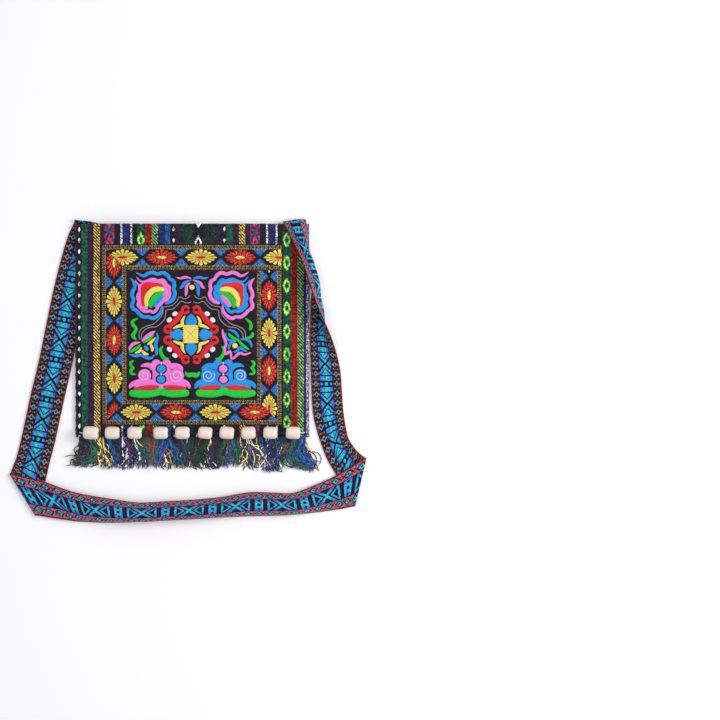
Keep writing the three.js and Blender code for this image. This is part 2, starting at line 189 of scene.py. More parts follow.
def hem(x, y):
    """Extra wall inside the mouth, where the hem is folded in."""
    room = smooth((HALF_WIDTH - abs(x)) / HEM_FADE)
    return HEM_LAYER * room * smooth((y - BAG_HEIGHT + HEM_DEPTH) / 1.0)


# Making pieces


def new_mesh():
    mesh = bmesh.new()
    mesh.loops.layers.uv.new("UVMap")
    return mesh


def add_grid(mesh, steps_u, steps_v, place, uv=None):
    """A grid of steps_u by steps_v faces, its points moved to place(u, v), u and v from 0 to 1.

    uv(u, v) gives the pattern coordinates of each corner.
    """
    made = bmesh.ops.create_grid(mesh, x_segments=steps_u, y_segments=steps_v, size=0.5)
    corners = made["verts"]
    shares = {vert: (vert.co.x + 0.5, vert.co.y + 0.5) for vert in corners}
    for vert, (u, v) in shares.items():
        vert.co = place(u, v)
    faces = {face for vert in corners for face in vert.link_faces}
    if uv:
        layer = mesh.loops.layers.uv.active
        for face in faces:
            for loop in face.loops:
                loop[layer].uv = uv(*shares[loop.vert])
    return corners, faces


def add_object(name, data):
    made = bpy.data.objects.new(name, data)
    bpy.context.scene.collection.objects.link(made)
    return made


def finish_piece(name, mesh, materials, nodes, weld=0.0):
    """Turns a bmesh in the bag's millimetres into a piece that stands for CAD nodes."""
    if weld:
        bmesh.ops.remove_doubles(mesh, verts=mesh.verts, dist=weld)
    for face in mesh.faces:
        face.smooth = True
    data = bpy.data.meshes.new(name)
    mesh.to_mesh(data)
    mesh.free()
    data.transform(Matrix.Translation(BAG_ORIGIN) @ Matrix.Scale(MM, 4))
    for material in materials:
        data.materials.append(material)
    piece = add_object(name, data)
    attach(piece, "root")
    if nodes:
        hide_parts(*nodes)
    return piece


def thicken(piece, thickness, offset=-1.0, other_face=0):
    """Gives a one-sided piece its wall; other_face is the material step of its far side."""
    wall = piece.modifiers.new("wall", "SOLIDIFY")
    wall.thickness = thickness * MM
    wall.offset = offset
    wall.material_offset = other_face


def through(points, per_span):
    """A smooth line through points, each a tuple of numbers that are all interpolated alike."""
    line = []
    last = len(points) - 1
    for i in range(last):
        around = [points[max(i - 1, 0)], points[i], points[i + 1], points[min(i + 2, last)]]
        for k in range(per_span):
            line.append(tuple(catmull(k / per_span, *column) for column in zip(*around)))
    line.append(tuple(points[last]))
    return line


def catmull(t, a, b, c, d):
    slope_b = (c - a) / 2
    slope_c = (d - b) / 2
    cubic = 2 * b - 2 * c + slope_b + slope_c
    square = -3 * b + 3 * c - 2 * slope_b - slope_c
    return ((cubic * t + square) * t + slope_b) * t + b


def distances(points):
    """How far each point lies along the line of points."""
    walked = [0.0]
    for a, b in zip(points, points[1:]):
        walked.append(walked[-1] + (b - a).length)
    return walked


# Shader building


class Value:
    """A number that changes over a surface. Sums, products and tests of values add Math nodes."""

    def __init__(self, paint, socket):
        self.paint = paint
        self.socket = socket

    def math(self, operation, *inputs):
        return Value(self.paint, self.paint.node("ShaderNodeMath", {"operation": operation}, inputs))

    def __abs__(self):
        return self.math("ABSOLUTE", self)

    def sine(self):
        return self.math("SINE", self)

    def floor(self):
        return self.math("FLOOR", self)

    def root(self):
        return self.math("SQRT", self)

    def angle(self, other):
        return self.math("ARCTAN2", self, other)

    def within(self, low, high):
        """1 between two limits, else 0."""
        return (self > low) & (self < high)

    def from_middle(self, period):
        """Signed distance to the middle of the nearest of repeats whose middles are at 0."""
        return (self + period / 2) % period - period / 2


# Operators of values and the Math nodes that they add
ARITHMETIC = {
    "add": "ADD", "sub": "SUBTRACT", "mul": "MULTIPLY", "truediv": "DIVIDE", "mod": "FLOORED_MODULO",
    "and": "MINIMUM", "or": "MAXIMUM",
}
TESTS = {"lt": "LESS_THAN", "gt": "GREATER_THAN"}


def add_operator(name, operation):
    """A value on the left of an operator, or on the right of it with a plain number on its left."""
    setattr(Value, f"__{name}__", lambda value, other: value.math(operation, value, other))
    if name in ARITHMETIC:
        setattr(Value, f"__r{name}__", lambda value, other: value.math(operation, other, value))


for operator_name, operator_node in {**ARITHMETIC, **TESTS}.items():
    add_operator(operator_name, operator_node)

# How far the noise has to be stretched before its usual swing is as large as the strength asked for
GRAIN_GAIN = 7.0
GRAIN_LOWEST = 0.12


class Paint:
    """One material and the short ways to build its nodes."""

    def __init__(self, name, roughness=0.9, sheen=0.0):
        self.material = bpy.data.materials.new(name)
        self.material.use_nodes = True
        self.tree = self.material.node_tree
        self.shader = self.tree.nodes["Principled BSDF"]
        self.shader.inputs["Roughness"].default_value = roughness
        self.shader.inputs["Specular IOR Level"].default_value = 0.25
        self.shader.inputs["Sheen Weight"].default_value = sheen
        self.shader.inputs["Sheen Roughness"].default_value = 0.5

    def node(self, kind, settings=None, inputs=(), output=0):
        """Adds a node: settings first, then its inputs by place or name. Returns one output."""
        made = self.tree.nodes.new(kind)
        for name, value in (settings or {}).items():
            setattr(made, name, value)
        pairs = inputs.items() if isinstance(inputs, dict) else enumerate(inputs)
        for key, value in pairs:
            self.feed(made.inputs[key], value)
        return made.outputs[output]

    def feed(self, socket, value):
        if isinstance(value, Value):
            value = value.socket
        if isinstance(value, bpy.types.NodeSocket):
            self.tree.links.new(value, socket)
        elif value is not None:
            socket.default_value = value

    def place(self):
        """X, Y and Z in the bag's millimetres, as a vector socket and three values."""
        coordinates = self.node("ShaderNodeTexCoord", output="Object")
        moved = self.node("ShaderNodeVectorMath", {"operation": "SUBTRACT"}, (coordinates, BAG_ORIGIN))
        scaled = self.node("ShaderNodeVectorMath", {"operation": "SCALE"}, {0: moved, "Scale": 1 / MM})
        return scaled, *self.parts(scaled)

    def pattern(self):
        """The piece's own two pattern coordinates."""
        return self.parts(self.node("ShaderNodeUVMap"))[:2]

    def parts(self, vector):
        split = self.tree.nodes.new("ShaderNodeSeparateXYZ")
        self.feed(split.inputs[0], vector)
        return tuple(Value(self, output) for output in split.outputs)

    def vector(self, x, y, z=0.0):
        return self.node("ShaderNodeCombineXYZ", inputs=(x, y, z))

    def noise(self, vector, size, detail=2.0, roughness=0.5):
        """Cloudy noise with features of about a size, from 0 to 1."""
        inputs = {"Vector": vector, "Scale": 1 / size, "Detail": detail, "Roughness": roughness}
        return Value(self, self.node("ShaderNodeTexNoise", inputs=inputs))

    def grain(self, vector, size, strength):
        """A factor near 1 that varies by about a strength over features of a size."""
        factor = (self.noise(vector, size, 2.0, 0.6) - 0.5) * (GRAIN_GAIN * strength) + 1.0
        return factor | GRAIN_LOWEST

    def mix(self, under, over, mask):
        """One colour over another by a mask."""
        return self.node("ShaderNodeMix", {"data_type": "RGBA"}, {0: mask, 6: under, 7: over}, output=2)

    def tint(self, colour, factor):
        """A colour made darker or lighter by a factor value."""
        grey = self.vector(factor, factor, factor)
        plain = colour[:3] if isinstance(colour, tuple) else colour
        return self.node("ShaderNodeVectorMath", {"operation": "MULTIPLY"}, (plain, grey))

    def layers(self, ground, *coats):
        """Colours laid over a ground in turn, each given as (mask, colour)."""
        for mask, colour in coats:
            ground = self.mix(ground, colour, mask)
        return ground

    def ramp(self, factor, stops):
        """Flat bands of colour: stops are (start, colour), start from 0 to 1."""
        made = self.tree.nodes.new("ShaderNodeValToRGB")
        made.color_ramp.interpolation = "CONSTANT"
        elements = made.color_ramp.elements
        elements[0].position, elements[0].color = stops[0]
        elements[1].position, elements[1].color = stops[-1]
        for position, colour in stops[1:-1]:
            elements.new(position).color = colour
        self.feed(made.inputs[0], factor)
        return made.outputs[0]

    def coat(self, colour, height=None, depth=0.3, roughness=None):
        """Links the colour, the relief of a height in millimetres times depth, and the roughness."""
        self.feed(self.shader.inputs["Base Color"], colour)
        if roughness is not None:
            self.feed(self.shader.inputs["Roughness"], roughness)
        if height is not None:
            inputs = {"Strength": 1.0, "Distance": depth * MM, "Height": height}
            bump = self.node("ShaderNodeBump", inputs=inputs)
            self.feed(self.shader.inputs["Normal"], bump)
        return self.material


def dye(red, green, blue):
    """A colour given in the 0 to 255 steps of a colour card, as linear light."""

    def linear(step):
        share = step / 255
        return share / 12.92 if share <= 0.04045 else ((share + 0.055) / 1.055) ** 2.4

    return (linear(red), linear(green), linear(blue), 1.0)


BLACK = dye(24, 22, 26)
WHITE = dye(225, 225, 228)

# Stripes of the cloth from left to right on the front: width in millimetres, colour, weave
STRIPES = [
    ("dotted", 6.2, BLACK),
    ("plain", 5.4, dye(46, 24, 56)),
    ("plain", 13.9, dye(16, 50, 46)),
    ("white_diamonds", 10.8, BLACK),
    ("plain", 13.3, dye(20, 44, 40)),
    ("plain", 5.8, dye(46, 24, 56)),
    ("dotted", 5.9, BLACK),
    ("plain", 7.0, dye(14, 86, 62)),
    ("plain", 6.6, dye(50, 24, 58)),
    ("twill", 6.9, dye(216, 188, 100)),
    ("plain", 5.8, dye(42, 24, 50)),
    ("pink_rings", 10.6, dye(18, 72, 116)),
    ("plain", 6.4, BLACK),
    ("broken", 2.0, WHITE),
    ("plain", 8.7, dye(28, 38, 96)),
    ("broken", 2.0, WHITE),
    ("plain", 5.4, BLACK),
    ("lime_rings", 9.7, dye(16, 68, 52)),
    ("plain", 6.8, dye(144, 20, 22)),
    ("pale_twill", 6.8, dye(26, 84, 30)),
    ("plain", 7.5, dye(28, 38, 96)),
    ("plain", 5.8, dye(20, 88, 150)),
]
STRIPE_REPEAT = sum(width for _, width, _ in STRIPES)
FRONT_START = -182.9
BACK_START = 204.3
DIAMOND_PITCH = 23.7
LIME_PITCH = 25.05
LIME_PHASE = 15.9
BROKEN_PITCH = 2.9
DOT_PITCH = 12.0
THREAD_PITCH = 0.62
TWILL_PITCH = 3.2
TWILL_SLOPE = 0.9
RAGGED = 1.6

# Figures of straight sides that are woven into stripes, drawn where the distances from their middle
# across and along the cloth, each times its slope, add up to a number between two edges
FIGURE_COLUMNS = ("weave", "pitch", "shift", "across", "along", "inner", "outer", "colour")
FIGURES = [
    ("dotted", DOT_PITCH, 0.8, 2.0, 1.0, -1.0, 2.9, WHITE),
    ("white_diamonds", DIAMOND_PITCH, 0.0, 1.5, 0.8, 3.2, 6.4, WHITE),
    ("pink_rings", DIAMOND_PITCH, 0.0, 1.15, 0.6, 2.0, 4.8, dye(214, 44, 84)),
    ("pink_rings", DIAMOND_PITCH, 0.0, 1.15, 0.6, 8.2, 99.0, dye(150, 36, 84)),
]


def stripe_bands():
    """Start, middle, width, colour and weave of each stripe of the repeat."""
    start = 0.0
    for weave, width, colour in STRIPES:
        yield start, start + width / 2, width, colour, weave
        start += width


def stripe_ramp(paint, across):
    """The colour of the stripe at a place across the repeat."""
    stops = [(start / STRIPE_REPEAT, colour) for start, _, _, colour, _ in stripe_bands()]
    return paint.ramp(across / STRIPE_REPEAT, stops)


def weave_mask(across, weave):
    """1 on every stripe of one weave."""
    mask = None
    for start, _, width, _, name in stripe_bands():
        if name == weave:
            band = across.within(start, start + width)
            mask = band if mask is None else mask | band
    return mask


def striped_colour(paint, across, along, where):
    """The stripes and their woven figures, from the place across the repeat and along the cloth."""
    ground = stripe_ramp(paint, across)
    ragged = (paint.noise(where, 1.6, 3.0) - 0.5) * RAGGED
    figures = []
    for _, middle, width, _, weave in stripe_bands():
        off = across - middle + ragged
        inside = abs(off) < width / 2
        for figure in rows_of(FIGURE_COLUMNS, FIGURES):
            if figure["weave"] == weave:
                row = abs((along + ragged).from_middle(figure["pitch"]))
                spread = abs(off - figure["shift"]) * figure["across"] + row * figure["along"]
                drawn = spread.within(figure["inner"], figure["outer"]) & inside
                figures.append((drawn, figure["colour"]))
        if weave == "broken":
            row = (along + off * 0.8).from_middle(BROKEN_PITCH)
            figures.append((inside & (row > 0.55), dye(70, 76, 120)))
        if weave == "lime_rings":
            row = abs((along + ragged - LIME_PHASE).from_middle(LIME_PITCH))
            spread = (off * off * 0.8 + row * row * 0.2).root() * 0.55 + abs(off) * 0.4 + row * 0.2
            figures.append((spread.within(1.5, 3.9), dye(96, 190, 66)))
            figures.append((spread.within(2.1, 3.2), dye(168, 222, 110)))
    colour = paint.layers(ground, *figures)
    line = (along * TWILL_SLOPE + across + ragged * 0.4).from_middle(TWILL_PITCH) > 0.0
    dark = line & weave_mask(across, "twill")
    pale = line & weave_mask(across, "pale_twill")
    colour = paint.layers(colour, (pale, dye(138, 178, 122)))
    return paint.tint(colour, 1.15 - dark * 1.05 - pale * 0.15), line


def threads(across, along, pitch):
    """Relief of a plain weave: warp ends cross weft picks, over and under by turns."""
    warp = (across * (math.pi / pitch)).sine()
    weft = (along * (math.pi / pitch)).sine()
    return abs(warp) * 0.6 + abs(weft) * 0.4


def striped_cloth(name, start, way):
    """The bag's striped cloth. way is 1 where the repeat runs with X and -1 where it runs against."""
    paint = Paint(name, roughness=0.92, sheen=0.15)
    where, x, y, _ = paint.place()
    drift = paint.noise(paint.vector(x * 0.15, y * 0.02, 0.0), 4.0) * 1.2 - 0.6
    across = (x * way - start * way + drift) % STRIPE_REPEAT
    colour, twill = striped_colour(paint, across, y, where)
    flicker = paint.noise(where, 1.3, 2.0, 0.6) > 0.5
    frayed = paint.mix(dye(92, 68, 110), dye(206, 190, 212), flicker)
    colour = paint.layers(colour, (x > HALF_WIDTH + SELVEDGE_START, frayed))
    weave = threads(x, y, THREAD_PITCH)
    fleck = paint.grain(where, 2.4, 0.75)
    slub = paint.grain(paint.vector(x * 1.5, y * 0.5, 0.0), 2.8, 0.3)
    cloud = paint.grain(where, 26.0, 0.08)
    # The weave's relief is also painted into the colour as shade, lighter where the threads cross over
    # and darker between them; fleck, slub and cloud are the yarn's own uneven tone.
    shade = (weave * 0.25 + 0.84) * fleck * slub * cloud
    return paint.coat(paint.tint(colour, shade), weave + fleck * 0.5 + twill * 0.4, depth=0.35)


def ribbon_black(paint, where):
    return paint.tint(BLACK, 0.8 + paint.noise(where, 2.0) * 0.5)


FLOWER_PITCH = 42.3
FLOWER_LONG = 17.0
FLOWER_WIDE = 9.0
PETALS = 16
FIELD_REACH = 9.4
DASH_PITCH = 4.1
RAIL_PITCH = 2.3


def flower_ribbon():
    """Woven ribbon: red and yellow flowers by turns between dotted green borders."""
    paint = Paint("flower ribbon", roughness=0.85, sheen=0.1)
    along, across = paint.pattern()
    number = (along / FLOWER_PITCH + 0.5).floor()
    red_turn = (number % 2.0) > 0.5
    off = along.from_middle(FLOWER_PITCH)
    reach = abs(across)
    scaled_x = off / FLOWER_LONG
    scaled_y = across / FLOWER_WIDE
    round_reach = (scaled_x * scaled_x + scaled_y * scaled_y).root()
    radius = round_reach * 0.66 + (abs(scaled_x) + abs(scaled_y)) * 0.34
    turn = scaled_y.angle(scaled_x) * (PETALS / (2 * math.pi))
    from_rib = abs(turn.from_middle(1.0))
    petal_edge = 1.0 - from_rib * from_rib * 0.8
    petals = (radius < petal_edge) & ((from_rib < 0.47 - radius * 0.13) | (radius < 0.2))
    core = (off / 5.0) * (off / 5.0) + (across / 1.6) * (across / 1.6)
    where = paint.vector(along, across)
    speck = paint.noise(where, 1.1, 2.0, 0.6)
    yellow, red = dye(232, 218, 96), dye(206, 36, 42)
    flower = paint.mix(yellow, red, red_turn)
    flower = paint.mix(flower, dye(236, 140, 92), (speck > 0.58) & (radius < 0.8))
    flower = paint.tint(flower, 0.62 + radius * 0.5)
    heart = paint.mix(red, yellow, red_turn)
    between = abs(abs(off) - FLOWER_PITCH / 2)
    blue = (between * 0.95 + (FIELD_REACH - reach) < 8.2) & (reach < FIELD_REACH)
    veins = abs(((between * 0.8 - reach) * (math.pi / 2.6)).sine()) < 0.34
    dash = ((along - reach * 0.4).from_middle(DASH_PITCH) < 0.6) & reach.within(9.9, 12.0)
    rails = (reach.within(8.9, 9.8) | reach.within(12.3, 13.2)) & (along.from_middle(RAIL_PITCH) < 0.4)
    colour = paint.layers(
        ribbon_black(paint, where),
        (blue, dye(42, 112, 190)),
        (blue & veins, dye(20, 50, 104)),
        (blue & (speck > 0.62), dye(104, 150, 214)),
        (radius < 1.07, dye(16, 20, 16)),
        (petals, flower),
        (core < 1.0, heart),
        (dash, dye(10, 138, 72)),
        (rails, dye(214, 66, 52)),
        (rails & (speck > 0.54), dye(222, 150, 120)),
    )
    ribs = (across * (2 * math.pi / 0.9)).sine() * 0.5 + 0.5
    wefts = (along * (2 * math.pi / 0.8)).sine() * 0.5 + 0.5
    relief = (petals | dash | blue) * 0.8 + ribs * 0.35 + wefts * 0.25
    # The ribs' relief is also painted into the colour as shade, darker in the grooves between them.
    shade = (ribs * 0.15 + 0.92) * paint.grain(where, 2.2, 0.4)
    return paint.coat(paint.tint(colour, shade), relief, depth=0.4)


STRAP_PERIOD = 46.0
RING_PITCH = STRAP_PERIOD / 4
MIDDLE_REACH = 7.9
BORDER_MIDDLE = 12.3
SELVEDGE_REACH = 16.6
SECOND_GROWN = -0.2


# The middle figure of the strap, from its cross outwards: fans of slanting lines, a bar, a row of dots
CROSS_SLOPE = 1.12
FAN_END = 12.6
BAR_START, BAR_END = 14.2, 19.2
DOT_ROW = STRAP_PERIOD / 2
SIDE_DOT_REACH = 5.6


def strap_figure(along, reach, grown):
    """1 on the threads of the strap's middle figure, whose parts are grown by a distance."""
    a = abs(along.from_middle(STRAP_PERIOD))
    slope = a - reach * CROSS_SLOPE
    chevron = slope.within(1.2 - grown, 4.4 + grown)
    fans = (a < FAN_END + grown) & ((slope < grown - 2.4) | chevron | (slope > 6.2 - grown))
    bars = a.within(BAR_START - grown, BAR_END + grown)
    centre = (a - DOT_ROW) * (a - DOT_ROW)
    middle_dot = (centre + reach * reach).root()
    side_dot = (centre + (reach - SIDE_DOT_REACH) * (reach - SIDE_DOT_REACH)).root()
    row = (middle_dot < 2.0 + grown) | (side_dot < 1.6 + grown)
    return (fans | bars | row) & (reach < MIDDLE_REACH - 0.4)


def strap_border(paint, along, reach, first_face, speck):
    """Colours of the two ringed borders of the strap, over a ground."""
    d = abs(along.from_middle(RING_PITCH))
    c = abs(reach - BORDER_MIDDLE)
    ring = c + d * 0.85
    beside = d + abs(c - 3.9)
    spot = abs(d - RING_PITCH / 2) + abs(c - 2.4)
    link = c + abs(d - RING_PITCH / 2)
    navy, teal = dye(14, 16, 28), dye(48, 178, 186)
    warm = paint.mix(dye(230, 92, 44), dye(214, 70, 124), speck > 0.52)
    dashes = (c > 3.8) & (along.from_middle(2.9) > 0.1)
    if first_face:
        outline = ring.within(1.6, 2.9)
        return paint.layers(
            navy,
            (dashes & (speck > 0.48), warm),
            (beside < 1.5, warm),
            (spot < 1.15, warm),
            (link < 1.1, dye(20, 96, 84)),
            (outline, teal),
            (outline & (speck > 0.57), dye(214, 66, 112)),
        )
    return paint.layers(
        navy,
        ((c > 3.2) & (speck > 0.47), warm),
        (dashes, navy),
        ((ring > 4.2) & (link > 2.2) & (speck > 0.46), warm),
        ((ring > 4.2) & (speck < 0.42), dye(70, 96, 176)),
        (ring < 2.6, teal),
        (ring < 1.0, navy),
        (link < 1.0, teal),
    )


def woven_strap(name, first_face):
    """One face of the patterned strap. The second face shows the same weave with its colours swapped."""
    paint = Paint(name, roughness=0.85, sheen=0.12)
    along, across = paint.pattern()
    reach = abs(across)
    where = paint.vector(along, across)
    speck = paint.noise(where, 1.7, 2.0, 0.6)
    wobble = paint.noise(where, 1.9) * 1.5 - 0.75
    ran, reached = along + wobble, reach + wobble * 0.7
    figure = strap_figure(ran, reached, 0.0 if first_face else SECOND_GROWN)
    light = figure if first_face else 1 - figure
    hue = reach / MIDDLE_REACH + speck * 1.4 - 0.8
    blue = paint.mix(dye(54, 190, 216), dye(44, 84, 214), hue)
    colour = paint.layers(
        paint.mix(dye(12, 14, 44), blue, light),
        (reach > MIDDLE_REACH, strap_border(paint, ran, reached, first_face, speck)),
        (reach.within(MIDDLE_REACH - 0.4, MIDDLE_REACH + 0.5), dye(14, 16, 30)),
        (reach > SELVEDGE_REACH, dye(16, 34, 34)),
        ((reach > SELVEDGE_REACH) & (along.from_middle(2.4) > 0.2), dye(130, 44, 44)),
    )
    ribs = abs((across * (math.pi / 0.75)).sine())
    picks = abs((along * (math.pi / 1.1)).sine())
    # The relief of the ribs and picks is also painted into the colour as shade, darker in the grooves
    # between them.
    shade = (ribs * 0.2 + picks * 0.2 + 0.74) * paint.grain(where, 2.3, 0.5)
    return paint.coat(paint.tint(colour, shade), ribs * 0.5 + picks * 0.5 + light * 0.5, depth=0.35)


def dark_ground():
    """The near-black twill that carries the embroidery."""
    paint = Paint("embroidery ground", roughness=0.9, sheen=0.15)
    where, x, y, _ = paint.place()
    diagonal = ((x + y) * (2 * math.pi / 1.1)).sine() * 0.5 + 0.5
    speck = paint.noise(where, 1.2, 3.0)
    colour = paint.mix(dye(12, 8, 14), dye(44, 30, 44), speck)
    # The twill's diagonal ridges are painted into the colour as shade, darker between them; the specks
    # are the cloth's own coloured threads.
    return paint.coat(paint.tint(colour, 0.7 + diagonal * 0.3), diagonal + speck, depth=0.3)


def pale_wood():
    """Bare pale wood, with fine grain along each bead."""
    paint = Paint("pale wood", roughness=0.55)
    where, x, y, z = paint.place()
    grain = paint.noise(paint.vector(x * 0.12, y * 1.4, z * 1.4), 1.3, 4.0, 0.6)
    cloud = paint.noise(where, 9.0, 2.0)
    colour = paint.mix(dye(226, 208, 194), dye(245, 234, 225), grain)
    colour = paint.mix(colour, dye(216, 190, 168), (cloud - 0.45) * 1.1)
    return paint.coat(colour, grain, depth=0.12, roughness=0.5 + grain * 0.15)


def yarn(name, colour, end_colour=None):
    """Plied yarn: the twist runs slantwise round it. The bead thread is dark where it runs between the
    beads, sewn under the ribbon, and has another colour at its ends."""
    paint = Paint(name, roughness=0.85, sheen=0.2)
    along, round_it = paint.pattern()
    ply = ((along * 1.2 + round_it * 2.0) * math.pi).sine() * 0.5 + 0.5
    if end_colour:
        _, x, _, _ = paint.place()
        colour = paint.mix(colour, end_colour, abs(x) > THREAD_SHOWS)
    # The twist of the plies is painted into the colour as shade, darker between them.
    return paint.coat(paint.tint(colour, 0.7 + ply * 0.4), ply, depth=0.2)


# How much lighter the fringe yarn is painted than the cloth's stripes: painted light that stands for the
# bright highlights on its loose strands
YARN_PAINTED_LIGHT = 1.9


def fringe_yarn():
    """Loose warp ends, each in the colour of the stripe that it leaves."""
    paint = Paint("fringe yarn", roughness=0.85, sheen=0.25)
    across, _ = paint.pattern()
    colour = stripe_ramp(paint, across % STRIPE_REPEAT)
    where, _, _, _ = paint.place()
    fuzz = paint.grain(where, 1.5, 0.3)
    # The yarn is painted lighter than its stripe, as a painted highlight of the loose strands.
    return paint.coat(paint.tint(colour, fuzz * YARN_PAINTED_LIGHT), fuzz, depth=0.2)


# Strap

# Sections of the strap. x1, y1, x2, y2 are its two edges in hundredths of the bag's width and height,
# rise is their height in shares of the strap's width, over is 1 on the strap's own lower layer, and
# arch is the share of the band's spare width that bulges, plus to its first face, minus to the other
LEFT_RUN = [
    (-51.9, 101.5, 0.13, -44.6, 100.9, 0.11, 0, 0),
    (-52.0, 101.8, 0.04, -44.3, 100.8, 0.02, 0, 0),
    (-52.2, 100.7, 0, -38.8, 98.6, 0, 0, 0),
    (-55.5, 92.6, 0, -41.5, 88.2, 0, 0, 0),
    (-60.3, 73.8, 0, -46.2, 70.1, 0, 0, 0),
    (-64.1, 55.0, 0, -49.8, 51.7, 0, 0, 0),
    (-67.7, 36.2, 0, -53.3, 33.4, 0, 0, 0),
    (-71.3, 20.2, 0, -56.8, 16.9, 0, 0, 0),
    (-75.1, 1.4, 0, -60.6, -1.9, 0, 0, 0),
    (-77.5, -9.0, 0, -63.2, -12.7, 0, 0, 0),
    (-79.2, -13.8, 0, -65.6, -24.0, 0, 0, 0),
    (-80.2, -16.9, 0, -68.7, -36.7, 0, 0, 0),
]
LOWER_RUN = [
    (-80.2, -16.9, 0, -68.7, -36.7, 0, 1, 0),
    (-76.2, -18.1, 0, -64.7, -37.4, 0, 1, 0),
    (-71.3, -19.3, 0, -60.7, -38.1, 0, 1, 0),
    (-65.3, -20.9, 0, -55.9, -38.8, 0, 1, 0),
    (-58.5, -23.5, 0.06, -51.5, -39.4, 0, 0.6, -0.4),
    (-51.5, -25.9, 0.1, -46.2, -39.7, 0, 0.2, -0.75),
    (-43.9, -27.5, 0.13, -40.0, -40.0, 0, 0, -1),
    (-33.8, -29.1, 0.16, -31.1, -40.0, 0, 0, -1),
    (-23.2, -30.6, 0.18, -21.9, -39.6, 0, 0, -1),
    (-11.8, -30.0, 0.18, -11.7, -39.0, 0, 0, -1),
    (-1.1, -29.4, 0.18, -1.1, -38.4, 0, 0, -1),
    (13.0, -28.0, 0.18, 12.6, -37.6, 0, 0, -1),
    (25.4, -25.8, 0.14, 25.4, -37.0, 0, 0, -1),
    (36.4, -26.0, 0.14, 37.3, -36.7, 0, 0, -1),
    (44.4, -26.2, 0.14, 47.0, -36.1, 0, 0, -1),
    (52.3, -23.3, 0.1, 55.4, -35.1, 0, 0.2, -0.75),
    (58.1, -20.7, 0.04, 61.2, -34.3, 0, 0.7, -0.4),
    (63.4, -18.1, 0, 65.6, -33.7, 0, 1, 0),
    (69.6, -13.9, 0, 68.5, -33.1, 0, 1, 0),
    (76.2, -9.7, 0, 71.2, -32.4, 0, 1, 0),
]
RIGHT_RUN = [
    (76.2, -9.7, 0, 71.2, -32.4, 0, 0, 0),
    (72.9, -6.8, 0, 66.3, -23.5, 0, 0, 0),
    (70.7, -3.8, 0, 63.2, -17.2, 0, 0, 0),
    (68.7, 0.0, 0, 59.6, -10.6, 0, 0, 0),
    (67.5, 6.1, 0, 56.1, -0.9, 0, 0, 0),
    (66.6, 12.6, 0, 53.4, 10.3, 0, 0, 0),
    (66.0, 22.1, 0, 52.6, 21.6, 0, 0, 0),
    (65.4, 30.6, 0, 52.3, 31.0, 0, 0, 0),
    (63.8, 38.6, 0.08, 52.1, 39.5, 0, 0, -0.4),
    (61.2, 47.0, 0.28, 51.9, 47.5, 0, 0, -0.8),
    (57.6, 55.9, 0.5, 52.1, 55.9, 0, 0, -0.92),
    (54.3, 64.4, 0.64, 52.3, 64.4, 0.01, 0, -0.74),
    (51.7, 72.4, 0.58, 53.2, 71.9, 0.03, 0, -0.62),
    (49.0, 80.9, 0.42, 53.2, 79.5, 0.07, 0, -0.42),
    (46.2, 87.9, 0.3, 51.6, 87.0, 0.12, 0, -0.36),
    (43.1, 94.5, 0.22, 51.0, 94.5, 0.16, 0, -0.3),
    (40.8, 99.2, 0.21, 50.5, 99.2, 0.18, 0, -0.22),
    (40.2, 100.8, 0.15, 50.0, 101.8, 0.15, 0, -0.1),
    (40.2, 100.8, 0.03, 50.0, 101.5, 0.03, 0, 0),
]
SECTION_STEPS = 5
FOLD_TURNS = (-60, -36, -12, 12, 36, 60)
ARCH_STEPS = 24
STRAP_ACROSS = 14
DRAWN_SHARE = 0.8

# Where the middle of a cross of the pattern lies on each run, in the bag's millimetres, and the
# pitch of the crosses there; the run is measured along Y on the sides and along X below
STRAP_MARKS = {"left": (111.1, 44.9), "lower": (-3.5, 51.3), "right": (38.2, 44.0)}


def section_at(row):
    """The two edges of a strap section and its arch."""
    x1, y1, rise1, x2, y2, rise2, over, arch = row
    base = STRAP_THICKNESS / 2 + over * 2 * FOLD_RADIUS
    first = Vector((x1 * BAG_WIDTH, y1 * BAG_HEIGHT, 0)) / 100
    second = Vector((x2 * BAG_WIDTH, y2 * BAG_HEIGHT, 0)) / 100
    first.z = base + rise1 * STRAP_WIDTH
    second.z = base + rise2 * STRAP_WIDTH
    return first, second, arch


def fold_at(row, before, way):
    """The band turns over along a section, outwards in the direction that it runs."""
    first, second, _ = section_at((*row[:6], 0, 0))
    ruling = second - first
    out = Vector((-ruling.y, ruling.x, 0)).normalized()
    if out.dot(first - before[0]) < 0:
        out.negate()
    turned = []
    for degrees in FOLD_TURNS:
        angle = math.radians(degrees * way)
        shift = out * (FOLD_RADIUS * math.cos(angle))
        shift.z = FOLD_RADIUS * (1 + math.sin(angle))
        turned.append((first + shift, second + shift, 0))
    return turned


def strap_sections():
    """Sections along the whole strap, each with the run that it is on."""
    left = [section_at(row) for row in through(LEFT_RUN, SECTION_STEPS)]
    lower = [section_at(row) for row in through(LOWER_RUN, SECTION_STEPS)]
    right = [section_at(row) for row in through(RIGHT_RUN, SECTION_STEPS)]
    up = fold_at(LEFT_RUN[-1], left[-2], 1)
    down = fold_at(RIGHT_RUN[0], lower[-2], -1)
    runs = ["left"] * len(left) + ["turn"] * len(up) + ["lower"] * len(lower)
    runs += ["turn"] * len(down) + ["right"] * len(right)
    return left + up + lower + down + right, runs


